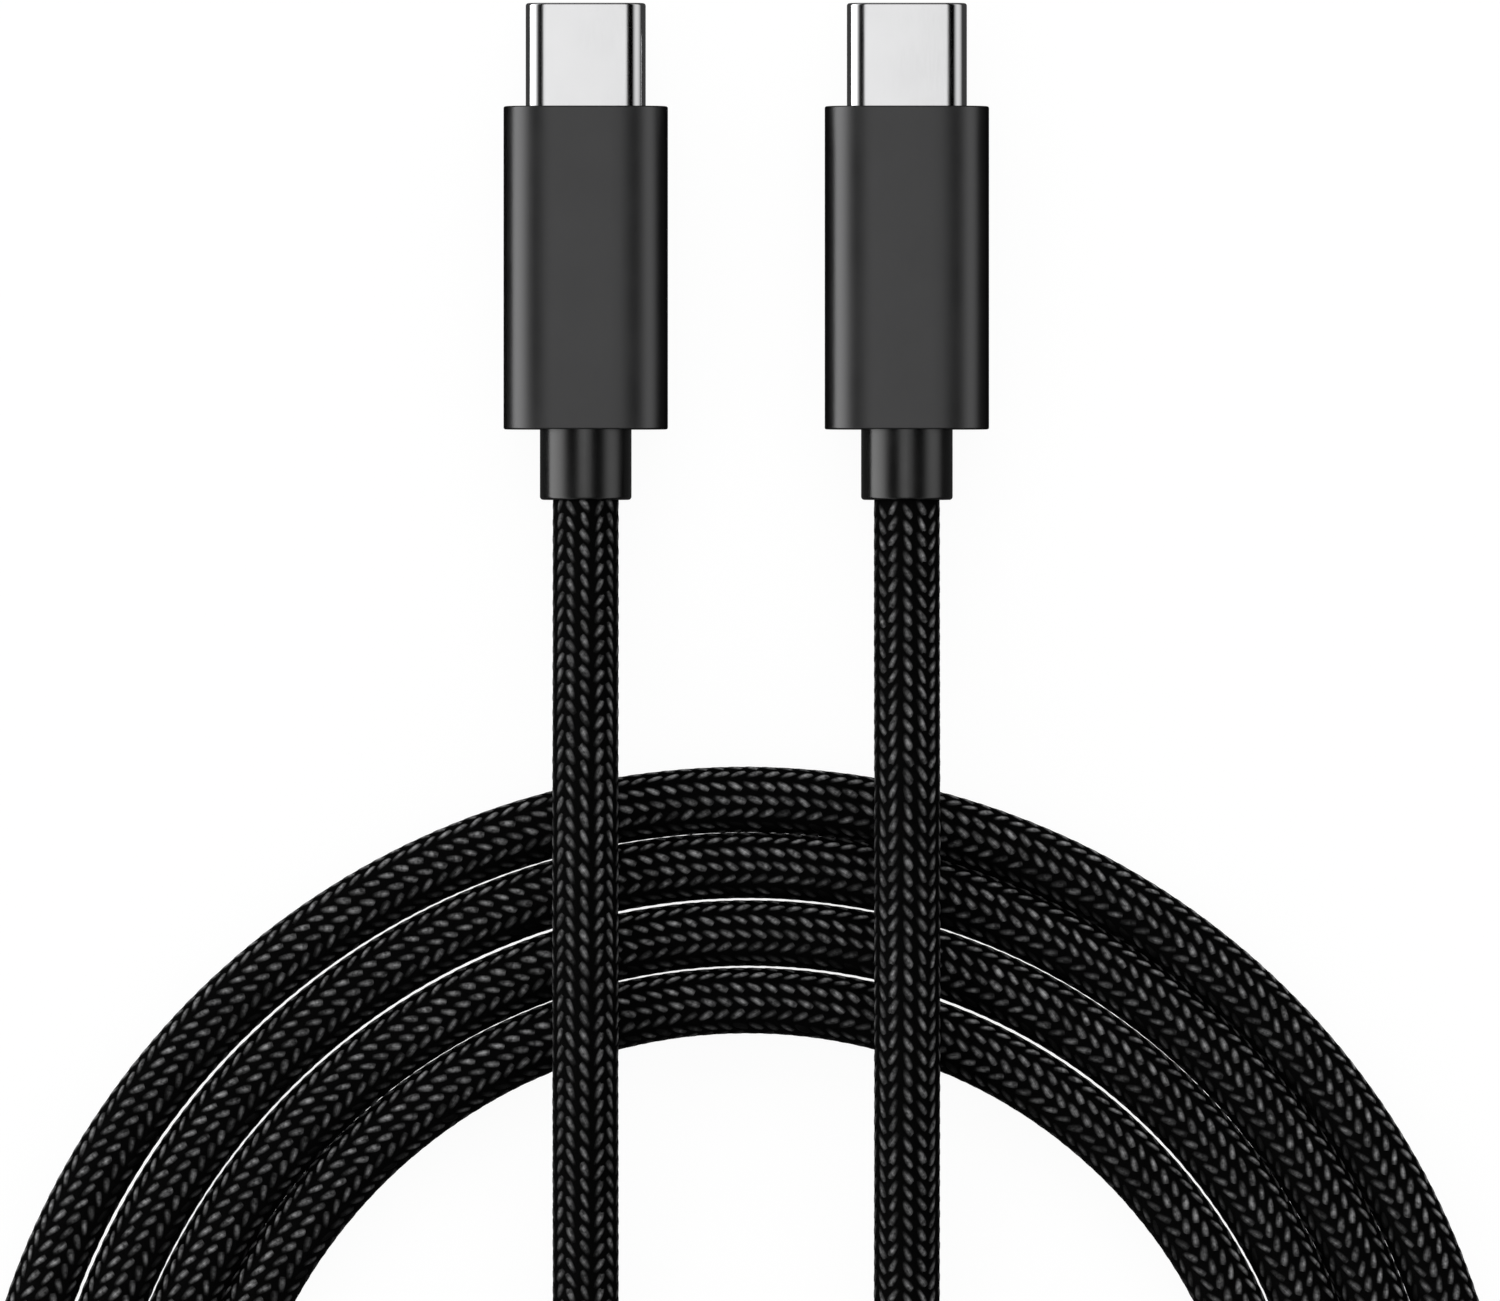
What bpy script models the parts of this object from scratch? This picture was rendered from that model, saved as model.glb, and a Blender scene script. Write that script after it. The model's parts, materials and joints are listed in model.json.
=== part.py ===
"""A braided charging cable: two flat plugs side by side, and their cord in a coil of four turns.

The cable lies flat. +Z is up, +Y is the way both plugs point, and +X is to the right. The origin is on the
surface that the cable lies on, midway between the two plugs. Each plug is built in its own frame, whose
origin is the middle of the housing's front face, with +Y out of the mouth.
"""

import math

import bmesh
import bpy
from mathutils import Vector
from mathutils.geometry import intersect_point_line

MM = 0.001

# Clearances
FIT = 0.05 * MM             # between pieces that seat in or on each other
FACE_GAP = 0.30 * MM        # between the ends of the cord's pieces
OVERCUT = 0.50 * MM         # how far a cut runs past the face that it opens

# Housing, a drawn metal sleeve
HOUSING_WIDTH = 11.30 * MM
HOUSING_THICKNESS = 6.20 * MM
HOUSING_LENGTH = 22.20 * MM
HOUSING_CORNER = 2.40 * MM
HOUSING_WALL = 0.45 * MM
HOUSING_END_WALL = 0.80 * MM
HOUSING_EDGE = 0.12 * MM
PLUG_SPACING = 22.08 * MM

# Plug shell, a drawn steel tube
SHELL_WIDTH = 8.25 * MM
SHELL_HEIGHT = 2.40 * MM
SHELL_CORNER = 1.15 * MM
SHELL_WALL = 0.25 * MM
SHELL_REACH = 7.10 * MM
SHELL_SEAT = 6.00 * MM
SHELL_LIP = 0.18 * MM

# Front insulator, which lines the shell
INSULATOR_RECESS = 0.30 * MM
INSULATOR_SEAT = 3.40 * MM
INSULATOR_WALL = 0.47 * MM
SLOT_WIDTH = 6.90 * MM
SLOT_CORNER = 0.30 * MM
SLOT_DEPTH = 6.10 * MM
SLOT_WEB = 0.60 * MM
GROOVE_DEPTH = 0.22 * MM
GROOVE_WIDTH = 0.32 * MM
MOUTH_RIM = 1.25 * MM

# Contacts and their carriers
CONTACTS = 12
CONTACT_PITCH = 0.50 * MM
CONTACT_WIDTH = 0.22 * MM
CONTACT_SHEET = 0.12 * MM
CONTACT_STANDOFF = 0.08 * MM
CONTACT_BITE = 0.13 * MM
CONTACT_TIP = 0.80 * MM
CONTACT_TIP_GAP = 0.15 * MM # between a contact's tip and the end of its groove
CARRIER_WIDTH = 6.40 * MM
CARRIER_LENGTH = 5.40 * MM
TAIL_LENGTH = 2.00 * MM

# Mid plate and latch arms
MID_PLATE_SHEET = 0.15 * MM
MID_PLATE_WIDTH = 5.80 * MM
LATCH_SHEET = 0.24 * MM
LATCH_HEIGHT = 0.36 * MM
LATCH_LENGTH = 6.60 * MM
LATCH_PIVOT = 0.80 * MM
LATCH_HOOK = 0.40 * MM
LATCH_HOOK_LENGTH = 1.30 * MM
LATCH_HOOK_RISE = 0.58 * MM # from the hook's rear to its flat
LATCH_HOOK_FLAT = 0.20 * MM
LATCH_CLEARANCE = 0.07 * MM
LATCH_NOSE_GAP = 0.20 * MM
EAR_LENGTH = 3.60 * MM

# Ground springs
SPRING_SHEET = 0.08 * MM
SPRING_WIDTH = 5.70 * MM
SPRING_LENGTH = 5.30 * MM
SPRING_SETBACK = 0.44 * MM  # behind the insulator's front face
FINGERS = 3
FINGER_PITCH = 1.90 * MM
FINGER_WIDTH = 1.00 * MM
FINGER_BITE = 0.12 * MM
FINGER_LENGTH = 0.62 * MM
FINGER_CLEARANCE = 0.10 * MM

# Paddle board, its parts and its wires
BOARD_WIDTH = 7.40 * MM
BOARD_SHEET = 0.60 * MM
CHIP_SIZE = 2.00 * MM
CHIP_HEIGHT = 0.55 * MM
PASSIVE_LENGTH = 1.00 * MM
PASSIVE_WIDTH = 0.50 * MM
PASSIVE_PITCH = 2.10 * MM
POWER_WIRE = 0.80 * MM
SIGNAL_WIRE = 0.62 * MM
WIRE_LAY_RADIUS = 1.05 * MM
WIRE_PAD = 1.40 * MM

# Shield cans
CAN_SHEET = 0.20 * MM
CAN_BEND = 0.30 * MM
CAN_OVERLAP = 3.00 * MM
CAN_SIDE = 0.60 * MM
CAN_TAIL_GAP = 1.20 * MM
NOTCH_RADIUS = 1.75 * MM
WINDOWS = 2
WINDOW_LENGTH = 1.60 * MM
WINDOW_HEIGHT = 0.50 * MM
WINDOW_PITCH = 5.00 * MM

# Crimp ferrule and the cord's end in the plug
FERRULE_LENGTH = 3.00 * MM
FERRULE_WALL = 0.35 * MM
FERRULE_GROOVE = 0.10 * MM
FERRULE_GAP = 0.40 * MM     # behind it and in front of it
SHIELD_DIAMETER = 3.20 * MM
CORD_DIAMETER = 4.55 * MM
STRIP_LENGTH = 0.50 * MM

# Inner mould and strain relief
MOULD_RECESS = 0.10 * MM
RELIEF_WIDTH = 6.30 * MM
RELIEF_THICKNESS = 5.20 * MM
RELIEF_CORNER = 2.40 * MM
RELIEF_REACH = 4.85 * MM
RELIEF_EDGE = 0.40 * MM
FLANGE_WIDTH = 8.20 * MM
FLANGE_LENGTH = 1.45 * MM

# Cord. Its solids are a little thinner than the cord, which keeps a gap between turns that touch.
CORD_TUBE_DIAMETER = 4.06 * MM
CORD_POINT_SPACING = 9.7 * MM
COIL_TURNS = 4
COIL_POINT_COUNT = 24       # on each turn
COIL_START_COUNT = 3        # the coil starts this many points after its lowest place
COIL_END_COUNT = 3          # and ends this many before it
COIL_INNER_RADIUS = 34.96 * MM
COIL_PITCH = 4.64 * MM
COIL_LEAN = 0.09 * MM
COIL_DISTANCE = 71.95 * MM
COIL_TURN_IN = 2.90 * MM    # how far inside its first turn the coil's start lies
COIL_TURN_IN_SPAN = 0.20    # the part of a turn over which it comes out to it

# The leads' routes, as X, Y from the coil's centre and the height above a cord that lies on the surface,
# in millimetres. Each starts at its plug and ends where it meets the coil.
LEFT_ROUTE = [
    (-11.04, 64.7, 1.18), (-11.04, 61.4, 1.74), (-11.04, 58.0, 2.76), (-11.04, 54.6, 3.79),
    (-11.04, 51.2, 4.47), (-11.04, 47.8, 4.65), (-11.04, 43.0, 4.65), (-11.04, 38.1, 4.65),
    (-11.04, 33.3, 4.39), (-11.04, 28.4, 3.48), (-11.04, 23.6, 2.18), (-11.04, 18.8, 1.02),
    (-11.04, 13.9, 0.29), (-11.04, 8.7, 0.00), (-11.04, 1.9, 0.00), (-11.04, -4.4, 0.00),
    (-11.04, -9.7, 0.00), (-10.61, -16.5, 0.00), (-8.24, -22.1, 0.00), (-4.09, -26.5, 0.00),
    (1.31, -29.3, 0.00), (6.11, -30.1, 0.00), (11.30, -29.5, 0.00),
]
RIGHT_ROUTE = [
    (11.04, 64.7, 1.18), (11.04, 61.4, 1.74), (11.04, 58.0, 2.76), (11.04, 54.6, 3.79),
    (11.04, 51.2, 4.47), (11.04, 47.8, 4.65), (11.04, 43.0, 4.65), (11.04, 38.1, 4.65),
    (11.04, 33.3, 4.39), (11.04, 28.4, 3.48), (11.04, 23.6, 2.18), (11.04, 18.8, 1.02),
    (11.04, 13.9, 0.29), (11.04, 8.7, 0.00), (11.04, 2.9, 0.00), (11.04, -3.4, 0.15),
    (11.04, -10.2, 1.06), (11.04, -16.9, 2.66), (11.04, -23.7, 4.07), (11.04, -30.5, 4.61),
    (9.49, -38.5, 4.63), (5.03, -45.4, 4.65), (-1.74, -50.1, 4.53), (-10.30, -51.8, 3.05),
    (-18.10, -50.1, 1.36), (-25.60, -46.4, 0.29),
]

CORNER_STEPS = 6
LIP_STEPS = 3
SEAT_STEPS = 4
ROOT_STEPS = 6
WIRE_STEPS = 7
WIRE_RISE = 0.40            # the part of its way over which a wire rises to its pad
CURVE_STEPS = 12
ROUND_SIDES = 4 * (CORNER_STEPS + 1)
CORD_BEVEL_STEPS = 3        # a bevel of this resolution gives ten sides
COIL_BEVEL_STEPS = 1        # and this one six
COIL_TILT = math.pi / 6     # stands the six sides on a corner, so that the coil meets the surface
SMOOTH_ANGLE = math.radians(35)

# Heights and places that several pieces share, in the plug's frame
HOUSING_FRONT_Y = (HOUSING_LENGTH + RELIEF_REACH - SHELL_REACH) / 2
RELIEF_END_Y = -(HOUSING_LENGTH + RELIEF_REACH)
END_WALL_Y = -(HOUSING_LENGTH - HOUSING_END_WALL)
FLANGE_REAR_Y = END_WALL_Y + FIT
FLANGE_FRONT_Y = FLANGE_REAR_Y + FLANGE_LENGTH
MOULD_REAR_Y = FLANGE_FRONT_Y + FIT

INSULATOR_HEIGHT = SHELL_HEIGHT - 2 * (SHELL_WALL + FIT)
INSULATOR_FRONT_Y = SHELL_REACH - INSULATOR_RECESS
SLOT_HALF_HEIGHT = INSULATOR_HEIGHT / 2 - INSULATOR_WALL
SLOT_REAR_Y = INSULATOR_FRONT_Y - SLOT_DEPTH
GROOVE_TOP = SLOT_HALF_HEIGHT + GROOVE_DEPTH
POCKET_HALF_HEIGHT = GROOVE_TOP + FIT
POCKET_FRONT_Y = SLOT_REAR_Y - SLOT_WEB
GROOVE_FRONT_Y = INSULATOR_FRONT_Y - MOUTH_RIM

CARRIER_FRONT_Y = POCKET_FRONT_Y - 2 * FIT
CARRIER_REAR_Y = CARRIER_FRONT_Y - CARRIER_LENGTH
CARRIER_LOW = MID_PLATE_SHEET / 2 + FIT
CARRIER_HIGH = POCKET_HALF_HEIGHT - FIT
CONTACT_TIP_Y = GROOVE_FRONT_Y - CONTACT_TIP_GAP
CONTACT_BUMP_Y = CONTACT_TIP_Y - CONTACT_TIP
TAIL_END_Y = CARRIER_REAR_Y - TAIL_LENGTH
BOARD_FRONT_Y = CARRIER_REAR_Y - FIT

LATCH_CENTRE_X = SLOT_WIDTH / 2 + LATCH_SHEET / 2
LATCH_PIVOT_Y = -LATCH_PIVOT
LATCH_FRONT_Y = LATCH_PIVOT_Y + LATCH_LENGTH
CHANNEL_HALF_HEIGHT = LATCH_HEIGHT / 2 + LATCH_CLEARANCE
CHANNEL_INNER_X = CARRIER_WIDTH / 2

SPRING_POCKET = SPRING_SHEET + FIT
SPRING_HIGH = INSULATOR_HEIGHT / 2 - FIT / 2
SPRING_FRONT_Y = INSULATOR_FRONT_Y - SPRING_SETBACK
SPRING_REAR_Y = SPRING_FRONT_Y - SPRING_LENGTH

FERRULE_INNER = SHIELD_DIAMETER / 2 + FIT
FERRULE_OUTER = FERRULE_INNER + FERRULE_WALL
FERRULE_REAR_Y = MOULD_REAR_Y + FERRULE_GAP
FERRULE_FRONT_Y = FERRULE_REAR_Y + FERRULE_LENGTH
SHIELD_FRONT_Y = FERRULE_FRONT_Y + FERRULE_GAP
CAN_REAR_Y = SHIELD_FRONT_Y + STRIP_LENGTH
CAN_FRONT_Y = -SHELL_SEAT + CAN_OVERLAP
LOWER_CAN_HALF_WIDTH = SHELL_WIDTH / 2 + FIT + CAN_SHEET
UPPER_CAN_HALF_WIDTH = LOWER_CAN_HALF_WIDTH + FIT + CAN_SHEET
CAN_HALF_HEIGHT = SHELL_HEIGHT / 2 + FIT + CAN_SHEET
BOARD_REAR_Y = CAN_REAR_Y + CAN_TAIL_GAP

RELIEF_BORE = CORD_DIAMETER / 2 + FIT
AXIS_HEIGHT = HOUSING_THICKNESS / 2
CORD_RADIUS = CORD_TUBE_DIAMETER / 2
CORD_EXIT_Y = HOUSING_FRONT_Y + RELIEF_END_Y
COIL_CENTRE_Y = CORD_EXIT_Y - COIL_DISTANCE


# ---------------------------------------------------------------- materials and objects

def make_finish(name, colour, roughness, metallic=0.0):
    """A plain Principled material."""
    finish = bpy.data.materials.new(name)
    finish.use_nodes = True
    shader = finish.node_tree.nodes["Principled BSDF"]
    shader.inputs["Base Color"].default_value = (*colour, 1.0)
    shader.inputs["Roughness"].default_value = roughness
    shader.inputs["Metallic"].default_value = metallic
    finish.diffuse_color = (*colour, 1.0)
    return finish


def make_object(name, data, parent=None, place=(0, 0, 0)):
    """An object in the scene, under its parent."""
    piece = bpy.data.objects.new(name, data)
    piece.location = place
    piece.parent = parent
    bpy.context.scene.collection.objects.link(piece)
    return piece


class Plug:
    """One plug: its empty, which stands in the middle of the housing's front face, and its side."""

    def __init__(self, side, x):
        self.side = side
        self.frame = make_object(side + "_plug_frame", None, place=(x, HOUSING_FRONT_Y, AXIS_HEIGHT))

    def add(self, name, mesh, finish, place=(0, 0, 0)):
        """A piece of this plug, named after its side."""
        piece = make_object(self.side + "_" + name, mesh, self.frame, place)
        mesh.materials.append(finish)
        mesh.shade_smooth()
        mesh.set_sharp_from_angle(angle=SMOOTH_ANGLE)
        return piece


def add_boolean(piece, mesh, operation):
    """A hidden helper in the piece's own frame, and the Boolean that cuts it out or joins it on."""
    helper = make_object(piece.name + "_" + mesh.name, mesh, piece.parent, piece.location)
    helper.hide_render = True
    helper.display_type = "WIRE"
    modifier = piece.modifiers.new(mesh.name, "BOOLEAN")
    modifier.object = helper
    modifier.operation = operation
    modifier.solver = "EXACT"


def cut(piece, *meshes):
    """Cut these meshes out of the piece."""
    for mesh in meshes:
        add_boolean(piece, mesh, "DIFFERENCE")


def join(piece, *meshes):
    """Fuse these meshes onto the piece."""
    for mesh in meshes:
        add_boolean(piece, mesh, "UNION")


# ---------------------------------------------------------------- shapes

def rounded_ring(width, height, corner, y):
    """Points round a rounded rectangle that stands across the plug's axis at y."""
    corner = min(corner, 0.48 * width, 0.48 * height)
    points = []
    for quarter, (side_x, side_z) in enumerate(((1, 1), (-1, 1), (-1, -1), (1, -1))):
        centre_x = side_x * (width / 2 - corner)
        centre_z = side_z * (height / 2 - corner)
        for step in range(CORNER_STEPS + 1):
            angle = (quarter + step / CORNER_STEPS) * math.pi / 2
            x = centre_x + corner * math.cos(angle)
            z = centre_z + corner * math.sin(angle)
            points.append(Vector((x, y, z)))
    return points


def round_ring(radius, y):
    """Points round a circle across the plug's axis at y, as many as a rounded rectangle has."""
    points = []
    for step in range(ROUND_SIDES):
        angle = (step + 0.5) * math.tau / ROUND_SIDES
        points.append(Vector((radius * math.cos(angle), y, radius * math.sin(angle))))
    return points


def new_mesh(name, shape):
    """The mesh of a bmesh, with its faces turned outwards."""
    bmesh.ops.recalc_face_normals(shape, faces=shape.faces)
    mesh = bpy.data.meshes.new(name)
    shape.to_mesh(mesh)
    shape.free()
    return mesh


def loft(name, rings, hollow=False):
    """A solid through these rings, capped at both ends, or a tube whose last ring meets its first."""
    shape = bmesh.new()
    loops = [[shape.verts.new(point) for point in ring] for ring in rings]
    pairs = list(zip(loops, loops[1:]))
    if hollow:
        pairs.append((loops[-1], loops[0]))
    else:
        shape.faces.new(loops[0])
        shape.faces.new(loops[-1])
    for near, far in pairs:
        for index, corner in enumerate(near):
            following = (index + 1) % len(near)
            shape.faces.new((corner, near[following], far[following], far[index]))
    return new_mesh(name, shape)


def boxes(name, corners):
    """Separate boxes in one mesh, each from its two opposite corners."""
    shape = bmesh.new()
    for first, second in corners:
        made = bmesh.ops.create_cube(shape, size=1.0)["verts"]
        first, second = Vector(first), Vector(second)
        for vertex in made:
            for axis in range(3):
                middle = (first[axis] + second[axis]) / 2
                vertex.co[axis] = middle + vertex.co[axis] * abs(second[axis] - first[axis])
    return new_mesh(name, shape)


def prisms(name, outline, spans, to_space):
    """Prisms of one outline, each between a span's two depths. to_space turns (a, b, depth) to x, y, z."""
    shape = bmesh.new()
    for low, high in spans:
        floor = shape.faces.new([shape.verts.new(to_space(a, b, low)) for a, b in outline])
        made = bmesh.ops.extrude_face_region(shape, geom=[floor])["geom"]
        shift = Vector(to_space(0, 0, high)) - Vector(to_space(0, 0, low))
        bmesh.ops.translate(shape, verts=[g for g in made if isinstance(g, bmesh.types.BMVert)], vec=shift)
    return new_mesh(name, shape)


def side_view(y, z, x):
    """An outline drawn from the side runs across the plug."""
    return (x, y, z)


def top_view(x, y, z):
    """An outline drawn from above runs up."""
    return (x, y, z)


def front_view(x, z, y):
    """An outline drawn from the mouth runs along the plug."""
    return (x, y, z)


def sheet_outline(path, thickness):
    """The outline of a bent sheet whose middle follows the path, mitred at each bend."""
    path = [Vector(point) for point in path]
    headings = [(after - before).normalized() for before, after in zip(path, path[1:])]
    left, right = [], []
    for index, point in enumerate(path):
        before = headings[max(index - 1, 0)]
        after = headings[min(index, len(headings) - 1)]
        normal = Vector((-before.y - after.y, before.x + after.x)).normalized()
        reach = thickness / 2 / normal.dot(Vector((-after.y, after.x)))
        left.append(tuple(point + normal * reach))
        right.append(tuple(point - normal * reach))
    return left + right[::-1]


def flipped(outline):
    """The same outline the other way up."""
    return [(a, -b) for a, b in outline]


def evenly(count, pitch):
    """Places of this many things in a row about the middle."""
    return [(index - (count - 1) / 2) * pitch for index in range(count)]


# ---------------------------------------------------------------- the plug's outside

def add_housing(plug, finish):
    """The sleeve: a rounded tube whose rear wall has an opening for the strain relief."""
    rings = []
    for y, inset in (
        (-HOUSING_LENGTH, HOUSING_EDGE),
        (-HOUSING_LENGTH + HOUSING_EDGE, 0.0),
        (-HOUSING_EDGE, 0.0),
        (0.0, HOUSING_EDGE),
    ):
        width = HOUSING_WIDTH - 2 * inset
        height = HOUSING_THICKNESS - 2 * inset
        rings.append(rounded_ring(width, height, HOUSING_CORNER - inset, y))
    housing = plug.add("housing", loft("housing", rings), finish)
    width = HOUSING_WIDTH - 2 * HOUSING_WALL
    height = HOUSING_THICKNESS - 2 * HOUSING_WALL
    corner = HOUSING_CORNER - HOUSING_WALL
    bore = loft("bore", [
        rounded_ring(width, height, corner, END_WALL_Y),
        rounded_ring(width, height, corner, OVERCUT),
    ])
    opening = loft("opening", [
        relief_ring(-HOUSING_LENGTH - OVERCUT, FIT),
        relief_ring(END_WALL_Y + OVERCUT, FIT),
    ])
    cut(housing, bore, opening)


def relief_ring(y, growth=0.0):
    """The strain relief's outline at y, grown on every side."""
    width = RELIEF_WIDTH + 2 * growth
    height = RELIEF_THICKNESS + 2 * growth
    return rounded_ring(width, height, RELIEF_CORNER + growth, y)


def add_strain_relief(plug, finish):
    """The collar behind the housing, with the flange that holds it in and the cord's bore."""
    flange_height = HOUSING_THICKNESS - 2 * (HOUSING_WALL + FIT)
    flange_corner = HOUSING_CORNER - HOUSING_WALL - FIT
    rings = [
        rounded_ring(FLANGE_WIDTH, flange_height, flange_corner, FLANGE_FRONT_Y),
        rounded_ring(FLANGE_WIDTH, flange_height, flange_corner, FLANGE_REAR_Y),
        relief_ring(FLANGE_REAR_Y),
    ]
    for step in range(LIP_STEPS + 1):
        angle = step / LIP_STEPS * math.pi / 2
        y = RELIEF_END_Y + RELIEF_EDGE * (1 - math.sin(angle))
        rings.append(relief_ring(y, -RELIEF_EDGE * (1 - math.cos(angle))))
    rings.append(round_ring(RELIEF_BORE, RELIEF_END_Y))
    rings.append(round_ring(RELIEF_BORE, FLANGE_FRONT_Y))
    plug.add("strain_relief", loft("strain_relief", rings, hollow=True), finish)


def shell_ring(y, inset):
    """The shell's outline at y, drawn in by this much on every side."""
    return rounded_ring(SHELL_WIDTH - 2 * inset, SHELL_HEIGHT - 2 * inset, SHELL_CORNER - inset, y)


def add_plug_shell(plug, finish):
    """The shell: a tube with round ends and a rolled mouth."""
    rings = [shell_ring(-SHELL_SEAT, 0.0)]
    for step in range(LIP_STEPS + 1):
        angle = step / LIP_STEPS * math.pi / 2
        y = SHELL_REACH - SHELL_LIP * (1 - math.sin(angle))
        rings.append(shell_ring(y, SHELL_LIP * (1 - math.cos(angle))))
    rings.append(shell_ring(SHELL_REACH - SHELL_LIP, SHELL_WALL))
    rings.append(shell_ring(-SHELL_SEAT, SHELL_WALL))
    plug.add("plug_shell", loft("plug_shell", rings, hollow=True), finish)


def add_inner_mould(plug, finish):
    """The moulded body that fills the housing and holds shell, cans and ferrule."""
    width = HOUSING_WIDTH - 2 * (HOUSING_WALL + FIT)
    height = HOUSING_THICKNESS - 2 * (HOUSING_WALL + FIT)
    corner = HOUSING_CORNER - HOUSING_WALL - FIT
    mould = plug.add("inner_mould", loft("inner_mould", [
        rounded_ring(width, height, corner, MOULD_REAR_Y),
        rounded_ring(width, height, corner, -MOULD_RECESS),
    ]), finish)
    shell_slot = loft("shell_slot", [
        shell_ring(CAN_FRONT_Y - OVERCUT, -FIT),
        shell_ring(OVERCUT, -FIT),
    ])
    can_width = UPPER_CAN_HALF_WIDTH + FIT
    can_height = CAN_HALF_HEIGHT + FIT
    can_room = boxes("can_room", [(
        (-can_width, CAN_REAR_Y - FIT, -can_height),
        (can_width, CAN_FRONT_Y + FIT, can_height),
    )])
    ferrule_bore = loft("ferrule_bore", [
        round_ring(FERRULE_OUTER + FIT, MOULD_REAR_Y - OVERCUT),
        round_ring(FERRULE_OUTER + FIT, CAN_REAR_Y + OVERCUT),
    ])
    cut(mould, shell_slot, can_room, ferrule_bore)


# ---------------------------------------------------------------- the plug's mouth

def add_front_insulator(plug, finish):
    """The lining of the shell: tongue slot, contact grooves, latch channels and spring pockets."""
    insulator = plug.add("front_insulator", loft("front_insulator", [
        shell_ring(-INSULATOR_SEAT, SHELL_WALL + FIT),
        shell_ring(INSULATOR_FRONT_Y, SHELL_WALL + FIT),
    ]), finish)
    slot = loft("slot", [
        rounded_ring(SLOT_WIDTH, 2 * SLOT_HALF_HEIGHT, SLOT_CORNER, SLOT_REAR_Y),
        rounded_ring(SLOT_WIDTH, 2 * SLOT_HALF_HEIGHT, SLOT_CORNER, INSULATOR_FRONT_Y + OVERCUT),
    ])
    pocket_half_width = CARRIER_WIDTH / 2 + FIT
    pocket = boxes("pocket", [(
        (-pocket_half_width, -INSULATOR_SEAT - OVERCUT, -POCKET_HALF_HEIGHT),
        (pocket_half_width, POCKET_FRONT_Y, POCKET_HALF_HEIGHT),
    )])
    grooves = []
    windows = []
    spring_pockets = []
    channels = []
    for side in (1, -1):
        for x in evenly(CONTACTS, CONTACT_PITCH):
            grooves.append((
                (x - GROOVE_WIDTH / 2, POCKET_FRONT_Y - FIT, side * SLOT_HALF_HEIGHT / 2),
                (x + GROOVE_WIDTH / 2, GROOVE_FRONT_Y, side * GROOVE_TOP),
            ))
        for x in evenly(FINGERS, FINGER_PITCH):
            half = FINGER_WIDTH / 2 + FINGER_CLEARANCE
            windows.append((
                (x - half, SPRING_FRONT_Y - FINGER_LENGTH - FINGER_CLEARANCE, side * SLOT_HALF_HEIGHT / 2),
                (x + half, SPRING_FRONT_Y + FINGER_CLEARANCE, side * INSULATOR_HEIGHT),
            ))
        spring_pockets.append((
            (-SPRING_WIDTH / 2 - FIT, SPRING_REAR_Y - FIT, side * (INSULATOR_HEIGHT / 2 - SPRING_POCKET)),
            (SPRING_WIDTH / 2 + FIT, SPRING_FRONT_Y + FIT, side * INSULATOR_HEIGHT),
        ))
        channels.append((
            (side * CHANNEL_INNER_X, -INSULATOR_SEAT - OVERCUT, -CHANNEL_HALF_HEIGHT),
            (side * SHELL_WIDTH, LATCH_FRONT_Y + LATCH_NOSE_GAP, CHANNEL_HALF_HEIGHT),
        ))
    cut(
        insulator,
        slot,
        pocket,
        boxes("grooves", grooves),
        boxes("channels", channels),
        boxes("spring_pockets", spring_pockets),
        boxes("windows", windows),
    )


def add_contacts(plug, name, side, carrier_finish):
    """A carrier with its twelve contacts: tails on the board, beams in the insulator's grooves."""
    carrier = plug.add(name, boxes(name, [(
        (-CARRIER_WIDTH / 2, CARRIER_REAR_Y, side * CARRIER_LOW),
        (CARRIER_WIDTH / 2, CARRIER_FRONT_Y, side * CARRIER_HIGH),
    )]), carrier_finish)
    tail_z = BOARD_SHEET / 2 + FIT + CONTACT_SHEET / 2
    root_z = GROOVE_TOP - CONTACT_STANDOFF - CONTACT_SHEET / 2
    bump_z = SLOT_HALF_HEIGHT - CONTACT_BITE + CONTACT_SHEET / 2
    path = [
        (TAIL_END_Y, tail_z),
        (CARRIER_REAR_Y + CARRIER_LENGTH / 4, tail_z),
        (CARRIER_FRONT_Y - CARRIER_LENGTH / 4, root_z),
        (CARRIER_FRONT_Y + SLOT_WEB, root_z),
        (CONTACT_BUMP_Y, bump_z),
        (CONTACT_TIP_Y, root_z),
    ]
    outline = sheet_outline(path, CONTACT_SHEET)
    if side < 0:
        outline = flipped(outline)
    spans = [(x - CONTACT_WIDTH / 2, x + CONTACT_WIDTH / 2) for x in evenly(CONTACTS, CONTACT_PITCH)]
    join(carrier, prisms("beams", outline, spans, side_view))


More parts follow.
